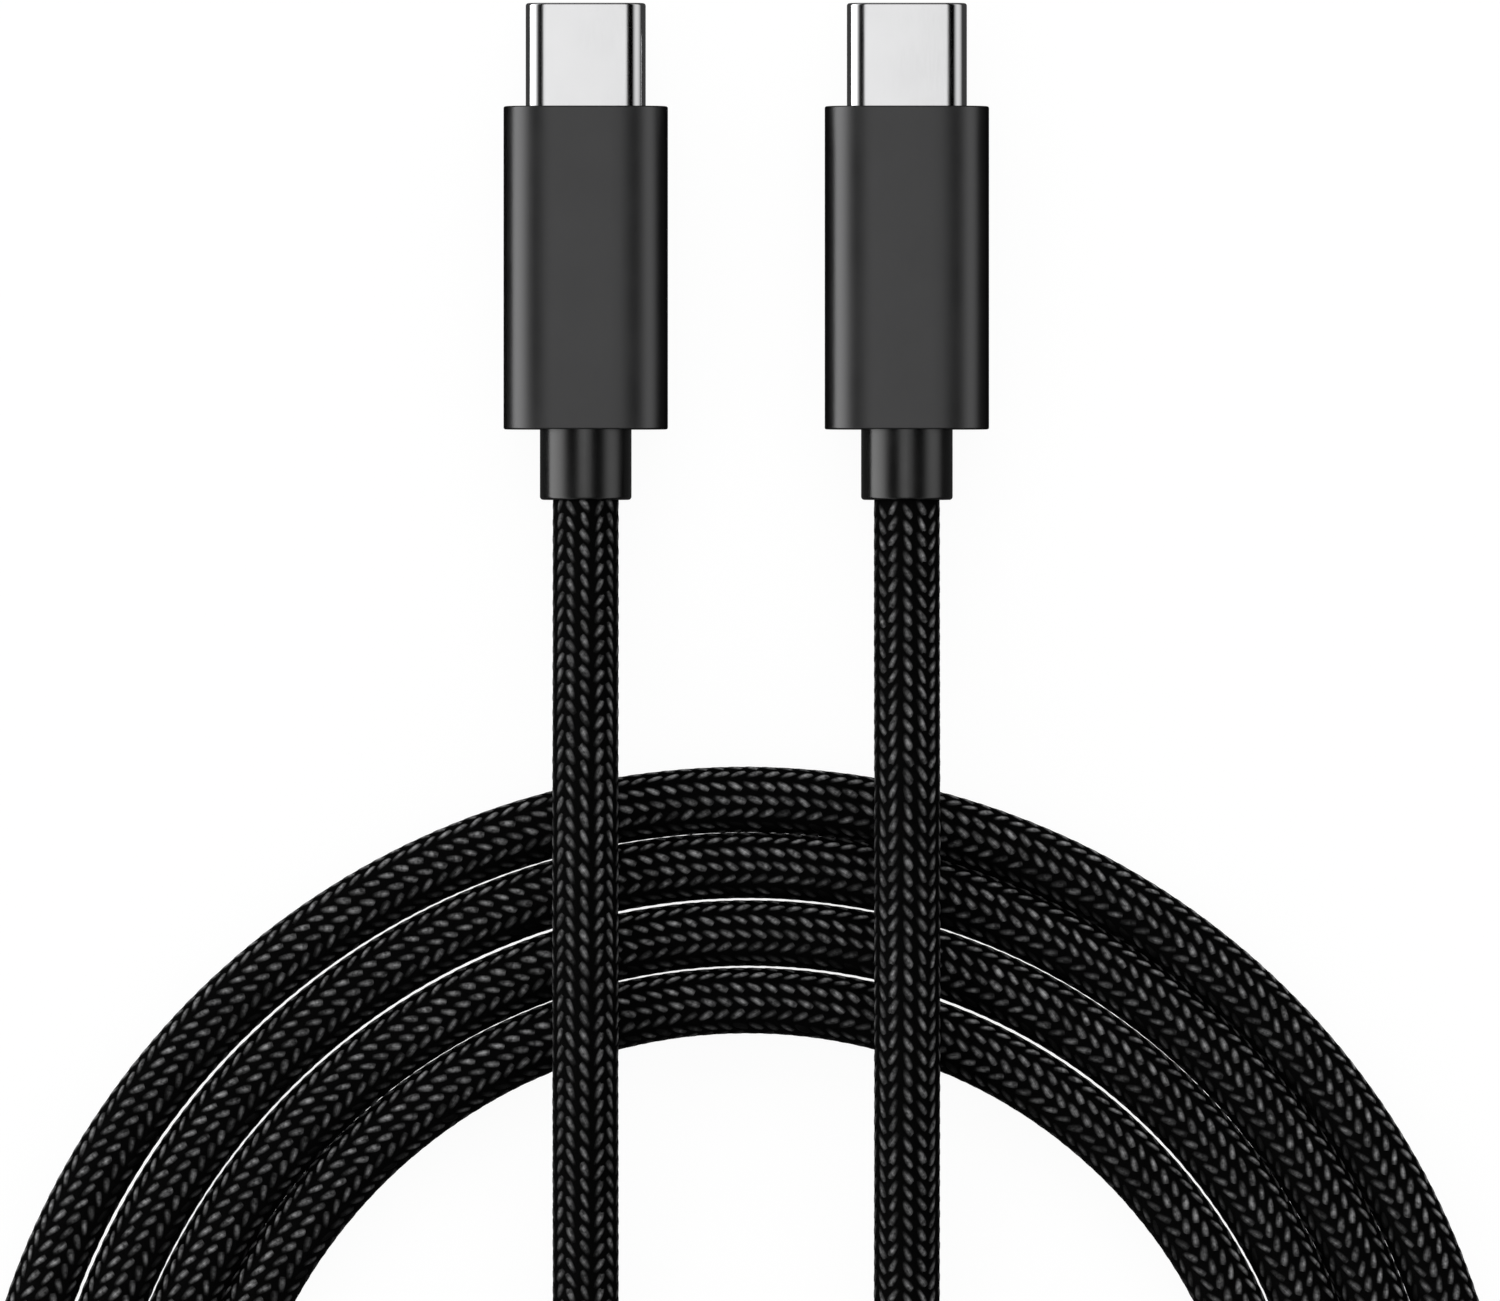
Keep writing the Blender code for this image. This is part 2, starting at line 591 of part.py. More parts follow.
def add_mid_plate(plug, finish):
    """The plate between the carriers. An ear at each side has the round seat of a latch arm."""
    half_width = MID_PLATE_WIDTH / 2
    ear_outer = LATCH_CENTRE_X + LATCH_SHEET / 2
    ear_inner = LATCH_CENTRE_X - LATCH_SHEET / 2
    ear_front = LATCH_PIVOT_Y - LATCH_SHEET
    ear_rear = LATCH_PIVOT_Y - EAR_LENGTH
    seat_radius = LATCH_SHEET / 2 + FIT
    seat = []
    for step in range(SEAT_STEPS + 1):
        angle = math.radians(225 + step * 90 / SEAT_STEPS)
        x = LATCH_CENTRE_X + seat_radius * math.cos(angle)
        seat.append((x, LATCH_PIVOT_Y + seat_radius * math.sin(angle)))
    right = [
        (half_width, CARRIER_FRONT_Y),
        (half_width, ear_front - LATCH_SHEET),
        (ear_inner, ear_front),
        *seat,
        (ear_outer, ear_front),
        (ear_outer, ear_rear),
        (half_width, ear_rear),
        (half_width, CARRIER_REAR_Y),
    ]
    outline = right + [(-x, y) for x, y in reversed(right)]
    span = (-MID_PLATE_SHEET / 2, MID_PLATE_SHEET / 2)
    plate = plug.add("mid_plate", prisms("mid_plate", outline, [span], top_view), finish)
    length = CARRIER_LENGTH / 4
    middle = (CARRIER_FRONT_Y + CARRIER_REAR_Y) / 2
    holes = [(
        (x - half_width / 4, middle - length / 2, -MID_PLATE_SHEET),
        (x + half_width / 4, middle + length / 2, MID_PLATE_SHEET),
    ) for x in (-half_width / 2, half_width / 2)]
    cut(plate, boxes("holes", holes))


def add_latch_arm(plug, name, side, finish):
    """A latch arm: a flat spring with a round root and a hook. Its origin is the pivot."""
    half = LATCH_SHEET / 2
    root = []
    for step in range(ROOT_STEPS + 1):
        angle = -math.pi * step / ROOT_STEPS
        root.append((half * math.cos(angle), half * math.sin(angle)))
    hook_rear = LATCH_LENGTH - LATCH_HOOK_LENGTH
    outline = root + [
        (-half, hook_rear),
        (-half - LATCH_HOOK, hook_rear + LATCH_HOOK_RISE),
        (-half - LATCH_HOOK, hook_rear + LATCH_HOOK_RISE + LATCH_HOOK_FLAT),
        (-half, LATCH_LENGTH),
        (half, LATCH_LENGTH),
    ]
    outline = [(side * x, y) for x, y in outline]
    span = (-LATCH_HEIGHT / 2, LATCH_HEIGHT / 2)
    place = (side * LATCH_CENTRE_X, LATCH_PIVOT_Y, 0)
    plug.add(name, prisms(name, outline, [span], top_view), finish, place)


def add_ground_spring(plug, name, side, finish):
    """A ground spring: a plate on the insulator with three fingers that turn in through its windows."""
    plate_low = SPRING_HIGH - SPRING_SHEET
    plate = plug.add(name, boxes(name, [(
        (-SPRING_WIDTH / 2, SPRING_REAR_Y, side * plate_low),
        (SPRING_WIDTH / 2, SPRING_FRONT_Y - SPRING_SHEET, side * SPRING_HIGH),
    )]), finish)
    middle = SPRING_HIGH - SPRING_SHEET / 2
    front = SPRING_FRONT_Y - SPRING_SHEET / 2
    bump_z = SLOT_HALF_HEIGHT - FINGER_BITE + SPRING_SHEET / 2
    path = [
        (front - 2 * SPRING_SHEET, middle),
        (front, middle - SPRING_SHEET),
        (front, (middle + bump_z) / 2),
        (front - FINGER_LENGTH / 2, bump_z),
        (front - FINGER_LENGTH + SPRING_SHEET, bump_z + SPRING_SHEET),
    ]
    outline = sheet_outline(path, SPRING_SHEET)
    if side < 0:
        outline = flipped(outline)
    spans = [(x - FINGER_WIDTH / 2, x + FINGER_WIDTH / 2) for x in evenly(FINGERS, FINGER_PITCH)]
    join(plate, prisms("fingers", outline, spans, side_view))


# ---------------------------------------------------------------- the plug's inside

def add_paddle_board(plug, finish):
    """The board between the contacts' tails and the wires, with its passives."""
    board = plug.add("paddle_board", boxes("paddle_board", [(
        (-BOARD_WIDTH / 2, BOARD_REAR_Y, -BOARD_SHEET / 2),
        (BOARD_WIDTH / 2, BOARD_FRONT_Y, BOARD_SHEET / 2),
    )]), finish)
    front = TAIL_END_Y - PASSIVE_WIDTH
    passives = [(
        (x - PASSIVE_WIDTH / 2, front - PASSIVE_LENGTH, -BOARD_SHEET / 4),
        (x + PASSIVE_WIDTH / 2, front, -BOARD_SHEET / 2 - PASSIVE_WIDTH),
    ) for x in evenly(3, PASSIVE_PITCH)]
    join(board, boxes("passives", passives))


def add_marker_chip(plug, finish):
    """The small chip that tells a charger what current the cable may carry."""
    front = TAIL_END_Y - PASSIVE_WIDTH
    low = BOARD_SHEET / 2 + FIT
    taper = CHIP_HEIGHT / 5
    rings = []
    for z, inset in ((low, 0.0), (low + CHIP_HEIGHT / 2, 0.0), (low + CHIP_HEIGHT, taper)):
        half = CHIP_SIZE / 2 - inset
        middle = front - CHIP_SIZE / 2
        corners = ((half, half), (-half, half), (-half, -half), (half, -half))
        rings.append([Vector((x, middle + y, z)) for x, y in corners])
    plug.add("marker_chip", loft("marker_chip", rings), finish)


def wire_route(lay_angle, pad_x, side, radius):
    """A wire's way from its place in the cord's bundle to its pad on the board."""
    angle = math.radians(lay_angle)
    start_x = WIRE_LAY_RADIUS * math.cos(angle)
    start_z = WIRE_LAY_RADIUS * math.sin(angle)
    start_y = SHIELD_FRONT_Y + FIT
    pad_y = BOARD_REAR_Y + WIRE_PAD
    pad_z = side * (BOARD_SHEET / 2 + FIT + radius)
    points = []
    for step in range(WIRE_STEPS + 1):
        part = step / WIRE_STEPS
        rise = min(1.0, part / WIRE_RISE)
        across = 0.5 - 0.5 * math.cos(math.pi * part)
        lift = 0.5 - 0.5 * math.cos(math.pi * rise)
        x = start_x + (pad_x - start_x) * across
        z = start_z + (pad_z - start_z) * lift
        points.append(Vector((x, start_y + (pad_y - start_y) * part, z)))
    return points


def add_wire(plug, name, finish, diameter, lay_angle, pad_x, side):
    """One insulated wire, from the bundle to the board."""
    points = wire_route(lay_angle, pad_x, side, diameter / 2)
    piece = make_tube(plug.side + "_" + name, points, diameter / 2, COIL_BEVEL_STEPS, finish)
    piece.parent = plug.frame


def add_can(plug, name, side, half_width, side_reach, rear, finish):
    """A shield can: a bent sheet over or under the board, with a notched rear wall."""
    half_width -= CAN_SHEET / 2
    top = CAN_HALF_HEIGHT - CAN_SHEET / 2
    foot = -side_reach
    path = [
        (-half_width, foot),
        (-half_width, top - CAN_BEND),
        (-half_width + CAN_BEND, top),
        (half_width - CAN_BEND, top),
        (half_width, top - CAN_BEND),
        (half_width, foot),
    ]
    outline = sheet_outline(path, CAN_SHEET)
    if side < 0:
        outline = flipped(outline)
    can = plug.add(name, prisms(name, outline, [(rear, CAN_FRONT_Y)], front_view), finish)
    wall = boxes("rear_wall", [(
        (-half_width, rear, side * foot),
        (half_width, rear + CAN_SHEET, side * (top - CAN_BEND / 2)),
    )])
    notch = loft("notch", [
        round_ring(NOTCH_RADIUS, rear - OVERCUT),
        round_ring(NOTCH_RADIUS, rear + OVERCUT),
    ])
    join(can, wall)
    cut(can, notch)
    return can


def add_shield_cans(plug, finish):
    """The two cans. Bosses on the bottom one's sides snap into windows in the top one's."""
    middle = (CAN_FRONT_Y - CAN_OVERLAP + CAN_REAR_Y) / 2
    upper = add_can(plug, "top_shield", 1, UPPER_CAN_HALF_WIDTH, CAN_SIDE, CAN_REAR_Y, finish)
    lower_rear = CAN_REAR_Y + CAN_SHEET + FIT
    lower = add_can(plug, "bottom_shield", -1, LOWER_CAN_HALF_WIDTH, CAN_SIDE, lower_rear, finish)
    windows = []
    bosses = []
    for side in (1, -1):
        for offset in evenly(WINDOWS, WINDOW_PITCH):
            windows.append((
                (side * (LOWER_CAN_HALF_WIDTH + FIT / 2), middle + offset - WINDOW_LENGTH / 2,
                 -WINDOW_HEIGHT / 2),
                (side * (UPPER_CAN_HALF_WIDTH + OVERCUT), middle + offset + WINDOW_LENGTH / 2,
                 WINDOW_HEIGHT / 2),
            ))
            boss_length = WINDOW_LENGTH - 2 * FIT
            boss_height = WINDOW_HEIGHT - 2 * FIT
            bosses.append((
                (side * (LOWER_CAN_HALF_WIDTH - CAN_SHEET / 2), middle + offset - boss_length / 2,
                 -boss_height / 2),
                (side * (LOWER_CAN_HALF_WIDTH + CAN_SHEET), middle + offset + boss_length / 2,
                 boss_height / 2),
            ))
    cut(upper, boxes("windows", windows))
    join(lower, boxes("bosses", bosses))


def add_crimp_ferrule(plug, finish):
    """The ring crimped on the cord's shield, with its two pressed grooves."""
    fifth = FERRULE_LENGTH / 5
    rings = []
    for step, inset in enumerate((0, 0, 1, 1, 0, 0)):
        rings.append(round_ring(FERRULE_OUTER - inset * FERRULE_GROOVE, FERRULE_REAR_Y + step * fifth))
    rings.append(round_ring(FERRULE_INNER, FERRULE_FRONT_Y))
    rings.append(round_ring(FERRULE_INNER, FERRULE_REAR_Y))
    plug.add("crimp_ferrule", loft("crimp_ferrule", rings, hollow=True), finish)


def add_cord_end(plug, finish):
    """The cord's end in the plug: braid and jacket in the relief, the bare shield in the ferrule."""
    jacket_front = FLANGE_FRONT_Y - FIT
    rings = [
        round_ring(CORD_DIAMETER / 2, RELIEF_END_Y + FIT),
        round_ring(CORD_DIAMETER / 2, jacket_front),
        round_ring(SHIELD_DIAMETER / 2, jacket_front),
        round_ring(SHIELD_DIAMETER / 2, SHIELD_FRONT_Y),
    ]
    plug.add("cord_end", loft("cord_end", rings), finish)


# ---------------------------------------------------------------- the cord

def make_tube(name, points, radius, bevel_steps, finish, tilt=0.0):
    """A round tube with closed ends along these points, its sides turned about them by tilt."""
    curve = bpy.data.curves.new(name, "CURVE")
    curve.dimensions = "3D"
    curve.twist_mode = "Z_UP"
    curve.bevel_depth = radius
    curve.bevel_resolution = bevel_steps
    curve.use_fill_caps = True
    spline = curve.splines.new("POLY")
    spline.points.add(len(points) - 1)
    for place, point in zip(spline.points, points):
        place.co = (*point, 1.0)
        place.tilt = tilt
    spline.use_smooth = True
    curve.materials.append(finish)
    return make_object(name, curve)


def smooth_curve(route):
    """Points along a smooth curve through the route, whose ends only give it its directions."""
    points = []
    for before, start, end, after in zip(route, route[1:], route[2:], route[3:]):
        for step in range(CURVE_STEPS):
            t = step / CURVE_STEPS
            points.append(
                0.5 * (2 * start + (end - before) * t
                       + (2 * before - 5 * start + 4 * end - after) * t ** 2
                       + (3 * start - before - 3 * end + after) * t ** 3)
            )
    return points + [route[-2]]


def spaced(points, spacing):
    """The same line with its points about this far apart."""
    lengths = [0.0]
    for before, after in zip(points, points[1:]):
        lengths.append(lengths[-1] + (after - before).length)
    count = max(1, round(lengths[-1] / spacing))
    result = []
    index = 0
    for step in range(count + 1):
        target = lengths[-1] * step / count
        while index < len(points) - 2 and lengths[index + 1] < target:
            index += 1
        part = (target - lengths[index]) / (lengths[index + 1] - lengths[index])
        result.append(points[index].lerp(points[index + 1], part))
    return result


def coil_point(turns):
    """The middle of the cord after this many turns, counted from the coil's lowest place on its inside.

    Each turn is nearly a circle and steps out to the next one mostly in its lower half. The start comes out
    from inside the first turn, which leaves room for the left lead beside the second one.
    """
    angle = math.tau * turns
    turn_in = max(0.0, 1 - (turns - COIL_START_COUNT / COIL_POINT_COUNT) / COIL_TURN_IN_SPAN)
    radius = COIL_INNER_RADIUS + COIL_PITCH * (turns + math.sin(angle) / math.tau)
    radius -= COIL_TURN_IN * turn_in ** 2
    lean = COIL_LEAN * (COIL_TURNS - 0.5 - turns)
    y = COIL_CENTRE_Y + lean - radius * math.cos(angle)
    return Vector((radius * math.sin(angle), y, CORD_RADIUS))


def coil_points():
    """The coil's points, with a straight run of one diameter at each end."""
    first = COIL_START_COUNT
    last = COIL_TURNS * COIL_POINT_COUNT - COIL_END_COUNT
    points = [coil_point(step / COIL_POINT_COUNT) for step in range(first, last + 1)]
    small = 0.01 / COIL_POINT_COUNT
    start_heading = (coil_point(first / COIL_POINT_COUNT + small) - points[0]).normalized()
    end_heading = (points[-1] - coil_point(last / COIL_POINT_COUNT - small)).normalized()
    start = points[0] - start_heading * CORD_TUBE_DIAMETER
    end = points[-1] + end_heading * CORD_TUBE_DIAMETER
    return [start] + points + [end]


def least_gap(points, diameter):
    """The least space between the coil's turns, from each point to every stretch at least half a turn away."""
    least = math.inf
    for index, point in enumerate(points):
        for other in range(index + COIL_POINT_COUNT // 2, len(points) - 1):
            nearest, part = intersect_point_line(point, points[other], points[other + 1])
            nearest = points[other].lerp(points[other + 1], min(1.0, max(0.0, part)))
            least = min(least, (nearest - point).length)
    return least - diameter


def lead_points(plug_x, route, coil_end, coil_next):
    """A lead's points: straight out of the plug, along its route, and straight into the coil's end."""
    exit_point = Vector((plug_x, CORD_EXIT_Y - FACE_GAP, AXIS_HEIGHT))
    straight = Vector((0, -CORD_TUBE_DIAMETER, 0))
    heading = (coil_end - coil_next).normalized()
    meeting = coil_end + heading * FACE_GAP
    middle = [Vector((x * MM, COIL_CENTRE_Y + y * MM, CORD_RADIUS + lift * MM)) for x, y, lift in route]
    straight_ends = [exit_point + straight, meeting + heading * CORD_TUBE_DIAMETER]
    through = [exit_point, straight_ends[0], *middle, straight_ends[1], meeting]
    return [exit_point, *spaced(smooth_curve(through), CORD_POINT_SPACING), meeting]


def add_cord(finish):
    """The coil and the two leads, each its own piece, meeting face to face."""
    coil = coil_points()
    left = lead_points(-PLUG_SPACING / 2, LEFT_ROUTE, coil[0], coil[1])
    right = lead_points(PLUG_SPACING / 2, RIGHT_ROUTE, coil[-1], coil[-2])
    make_tube("cord_coil", coil, CORD_RADIUS, COIL_BEVEL_STEPS, finish, COIL_TILT)
    make_tube("cord_lead_left", left, CORD_RADIUS, CORD_BEVEL_STEPS, finish)
    make_tube("cord_lead_right", right, CORD_RADIUS, CORD_BEVEL_STEPS, finish)
    total = 0.0
    for line in (coil, left, right):
        total += sum((after - before).length for before, after in zip(line, line[1:]))
    print(f"least gap between the coil's turns: {least_gap(coil, CORD_TUBE_DIAMETER) / MM:.2f} mm")
    print(f"length of the free cord: {total / MM:.0f} mm")


# ---------------------------------------------------------------- the whole cable

def add_plug(side, x, finishes, has_chip):
    """One complete plug."""
    plug = Plug(side, x)
    outward = -1 if x < 0 else 1
    add_housing(plug, finishes["housing"])
    add_strain_relief(plug, finishes["relief"])
    add_plug_shell(plug, finishes["shell"])
    add_inner_mould(plug, finishes["mould"])
    add_front_insulator(plug, finishes["insulator"])
    add_contacts(plug, "top_contacts", 1, finishes["contacts"])
    add_contacts(plug, "bottom_contacts", -1, finishes["contacts"])
    add_mid_plate(plug, finishes["spring_steel"])
    add_latch_arm(plug, "outer_latch", outward, finishes["spring_steel"])
    add_latch_arm(plug, "inner_latch", -outward, finishes["spring_steel"])
    add_ground_spring(plug, "top_ground_spring", 1, finishes["spring_steel"])
    add_ground_spring(plug, "bottom_ground_spring", -1, finishes["spring_steel"])
    add_paddle_board(plug, finishes["board"])
    if has_chip:
        add_marker_chip(plug, finishes["chip"])
    add_shield_cans(plug, finishes["can"])
    add_crimp_ferrule(plug, finishes["can"])
    add_cord_end(plug, finishes["cord"])
    add_wire(plug, "supply_wire", finishes["supply_wire"], POWER_WIRE, 162, -BOARD_WIDTH / 3, 1)
    add_wire(plug, "ground_wire", finishes["ground_wire"], POWER_WIRE, 234, -BOARD_WIDTH / 5, -1)
    add_wire(plug, "configuration_wire", finishes["configuration_wire"], SIGNAL_WIRE, 90, 0.0, 1)
    add_wire(plug, "data_plus_wire", finishes["data_plus_wire"], SIGNAL_WIRE, 18, BOARD_WIDTH / 3, 1)
    add_wire(plug, "data_minus_wire", finishes["data_minus_wire"], SIGNAL_WIRE, 306, BOARD_WIDTH / 5, -1)


def clear_scene():
    """Remove every object that is in the scene."""
    for thing in list(bpy.data.objects):
        bpy.data.objects.remove(thing, do_unlink=True)


def main():
    """Build the cable."""
    clear_scene()
    finishes = {
        "housing": make_finish("anodised_housing", (0.062, 0.062, 0.065), 0.42, 0.6),
        "relief": make_finish("moulded_relief", (0.012, 0.012, 0.013), 0.38),
        "shell": make_finish("bright_steel", (0.82, 0.82, 0.83), 0.18, 1.0),
        "mould": make_finish("inner_mould", (0.02, 0.02, 0.02), 0.55),
        "insulator": make_finish("insulator", (0.012, 0.012, 0.014), 0.45),
        "contacts": make_finish("gold_contacts", (0.88, 0.66, 0.28), 0.25, 1.0),
        "spring_steel": make_finish("spring_steel", (0.62, 0.62, 0.64), 0.28, 1.0),
        "board": make_finish("board", (0.02, 0.16, 0.09), 0.5),
        "chip": make_finish("chip", (0.02, 0.02, 0.022), 0.6),
        "can": make_finish("tinned_can", (0.70, 0.70, 0.70), 0.32, 1.0),
        "cord": make_finish("braided_cord", (0.010, 0.010, 0.011), 0.55),
        "supply_wire": make_finish("supply_wire", (0.55, 0.03, 0.03), 0.45),
        "ground_wire": make_finish("ground_wire", (0.02, 0.02, 0.02), 0.45),
        "configuration_wire": make_finish("configuration_wire", (0.05, 0.12, 0.5), 0.45),
        "data_plus_wire": make_finish("data_plus_wire", (0.05, 0.35, 0.08), 0.45),
        "data_minus_wire": make_finish("data_minus_wire", (0.75, 0.75, 0.72), 0.45),
    }
    add_plug("left", -PLUG_SPACING / 2, finishes, has_chip=True)
    add_plug("right", PLUG_SPACING / 2, finishes, has_chip=False)
    add_cord(finishes["cord"])


main()
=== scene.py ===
"""The charging cable, dressed: two flat plugs side by side and their braided cord in a flat coil.

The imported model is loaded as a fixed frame. The cord's three plain solids are replaced by one braided cord,
whose woven stitches are laid along its route by Geometry Nodes. The outer pieces of each plug are replaced
by finer ones of the same size, and every other piece of the frame gets its own finish. Everything is in
metres: +Z is up, +Y is the way both plugs point, and the floor is at Z = 0.
"""

from __future__ import annotations

import json
import logging
import math
from dataclasses import dataclass, replace
from enum import Enum
from functools import reduce
from itertools import accumulate

import bmesh
import bpy
from mathutils import Matrix, Vector

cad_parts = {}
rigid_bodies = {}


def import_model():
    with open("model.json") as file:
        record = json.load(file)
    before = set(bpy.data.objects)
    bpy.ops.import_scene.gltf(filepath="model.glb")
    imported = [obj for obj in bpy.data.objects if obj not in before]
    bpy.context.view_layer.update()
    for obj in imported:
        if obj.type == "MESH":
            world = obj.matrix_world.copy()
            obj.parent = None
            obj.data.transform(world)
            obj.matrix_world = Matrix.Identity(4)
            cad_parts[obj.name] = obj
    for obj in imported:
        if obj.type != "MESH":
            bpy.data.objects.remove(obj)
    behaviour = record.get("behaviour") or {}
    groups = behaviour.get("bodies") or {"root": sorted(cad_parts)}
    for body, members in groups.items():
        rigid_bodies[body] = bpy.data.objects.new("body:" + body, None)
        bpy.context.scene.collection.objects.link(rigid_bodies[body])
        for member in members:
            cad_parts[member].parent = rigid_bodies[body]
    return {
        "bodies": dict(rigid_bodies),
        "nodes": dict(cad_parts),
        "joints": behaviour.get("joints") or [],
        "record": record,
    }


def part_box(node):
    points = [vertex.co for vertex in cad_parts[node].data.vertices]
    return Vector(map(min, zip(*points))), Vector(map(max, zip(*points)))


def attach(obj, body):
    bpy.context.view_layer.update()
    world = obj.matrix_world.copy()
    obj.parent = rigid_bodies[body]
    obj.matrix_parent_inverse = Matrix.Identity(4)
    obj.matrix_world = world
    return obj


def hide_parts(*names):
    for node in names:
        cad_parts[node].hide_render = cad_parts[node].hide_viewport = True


MM = 0.001
ROOT_BODY = "cable"

NOISE_RANGE = (0.3, 0.7)      # the values that a noise texture keeps to nearly everywhere
WAVE_REPEAT = 0.31            # how far apart a wave texture of scale 1 repeats
WHITE = (1.0, 1.0, 1.0, 1.0)
UP = (0.0, 0.0, 1.0)

RING_STEPS = 18               # in each corner of a plug piece's outline
EDGE_STEPS = 4                # round each of its rims
SHARP_ANGLE = math.radians(32)
ROUNDEST = 0.498              # the share of its outline's width or height that a corner may take

Socket = bpy.types.NodeSocket
Value = Socket | float
Triple = tuple[float, float, float]
Colour = Triple
Ring = list[Vector]

logging.basicConfig(level=logging.INFO, format="%(message)s")
log = logging.getLogger("cable")


class Side(Enum):
    """Which plug a piece belongs to."""

    LEFT = "left"
    RIGHT = "right"


class Draw(Enum):
    """The braid's random draws, each with its own offset from the seed."""

    TURN = 1
    SIZE = 2
    TONE = 3


# ---------------------------------------------------------------- node trees


class TreeBuilder:
    """Adds nodes to one node tree and joins them.

    A Value is a number, or the socket that it comes from.
    """

    def __init__(self, tree: bpy.types.NodeTree) -> None:
        """Take the tree to build in."""
        self.tree = tree

    def add(self, kind: str, inputs: dict | None = None, **settings: object) -> bpy.types.Node:
        """Add one node.

        Args:
            kind: the node's type name.
            inputs: for each input, by name or number, the socket to join to it or the value to give it.
            **settings: the node's own properties.

        Returns:
            The new node.
        """
        node = self.tree.nodes.new(kind)
        for name, value in settings.items():
            setattr(node, name, value)
        for key, value in (inputs or {}).items():
            if isinstance(value, Socket):
                self.tree.links.new(value, node.inputs[key])
            else:
                node.inputs[key].default_value = value
        return node

    def calculate(self, operation: str, first: Value, second: Value = 0.0, clamp: bool = False) -> Socket:
        """The result of one Math node, held between 0 and 1 where clamp is set."""
        node = self.add("ShaderNodeMath", {0: first, 1: second}, operation=operation, use_clamp=clamp)
        return node.outputs[0]

    def product(self, *factors: Value) -> Socket:
        """The product of two or more values, multiplied from left to right."""
        return reduce(lambda first, second: self.calculate("MULTIPLY", first, second), factors)

    def total(self, *terms: Value) -> Socket:
        """The sum of two or more values, added from left to right."""
        return reduce(lambda first, second: self.calculate("ADD", first, second), terms)

    def minus(self, first: Value, second: Value, clamp: bool = False) -> Socket:
        """The first value less the second, held between 0 and 1 where clamp is set."""
        return self.calculate("SUBTRACT", first, second, clamp)

    def ranged(self, value: Socket, low: float, high: float, start: float = 0, end: float = 1) -> Socket:
        """A value between start and end, turned to one between low and high."""
        limits = {"From Min": start, "From Max": end, "To Min": low, "To Max": high}
        return self.add("ShaderNodeMapRange", {"Value": value, **limits}).outputs[0]

    def parts(self, vector: Socket) -> list[Socket]:
        """The three parts of a vector."""
        return list(self.add("ShaderNodeSeparateXYZ", {0: vector}).outputs)

    def tint(self, share: Socket, low: Colour | Socket, high: Colour | Socket) -> Socket:
        """A colour between low, where share is 0, and high, where it is 1."""
        low, high = ((*end, 1.0) if isinstance(end, tuple) else end for end in (low, high))
        return self.add("ShaderNodeMix", {0: share, 6: low, 7: high}, data_type="RGBA").outputs[2]

    def mixed(self, share: Socket, first: Socket, second: Socket) -> Socket:
        """A shader that is the first one where share is 0, and the second one where it is 1."""
        return self.add("ShaderNodeMixShader", {0: share, 1: first, 2: second}).outputs[0]


class ShaderTree(TreeBuilder):
    """The nodes of one material, round its Principled shader."""

    def __init__(self, name: str) -> None:
        """Make the material and take its tree.

        Args:
            name: the material's name.
        """
        self.material = bpy.data.materials.new(name)
        self.material.use_nodes = True
        super().__init__(self.material.node_tree)
        self.surface = self.tree.nodes["Principled BSDF"]

    def plain(self, **values: object) -> None:
        """Set sockets of the shader that are the same all over the surface.

        Args:
            **values: their values, by the sockets' names with spaces written as underscores.
        """
        for name, value in values.items():
            socket = self.surface.inputs[name.replace("_", " ")]
            socket.default_value = (*value, 1.0) if isinstance(value, tuple) else value

    def join(self, output: Socket, name: str) -> None:
        """Join an output to a socket of the shader."""
        self.tree.links.new(output, self.surface.inputs[name])

    def places(self, scale: Triple = (1.0, 1.0, 1.0)) -> Socket:
        """Object coordinates, scaled along each axis."""
        source = self.add("ShaderNodeTexCoord").outputs["Object"]
        return self.add("ShaderNodeMapping", {"Vector": source, "Scale": scale}).outputs["Vector"]

    def noise(self, vector: Socket, scale: float, detail: float = 2.0) -> Socket:
        """The value of a noise texture."""
        inputs = {"Vector": vector, "Scale": scale, "Detail": detail}
        return self.add("ShaderNodeTexNoise", inputs).outputs[0]

    def spread(self, noise: Socket, low: float, high: float) -> Socket:
        """A noise turned to a value between low and high."""
        return self.ranged(noise, low, high, *NOISE_RANGE)

    def colour(self, share: Socket, low: Colour, high: Colour) -> None:
        """Let the surface's colour go from low to high with share."""
        self.join(self.tint(share, low, high), "Base Color")

    def roughen(self, noise: Socket, low: float, high: float) -> None:
        """Let the surface's roughness go from low to high with a noise."""
        self.join(self.spread(noise, low, high), "Roughness")

    def relief(self, height: Socket, distance: float) -> None:
        """Let a pattern raise the surface in its bump, by this many metres where the pattern is 1."""
        bump = self.add("ShaderNodeBump", {"Height": height, "Distance": distance, "Strength": 1.0})
        self.join(bump.outputs["Normal"], "Normal")


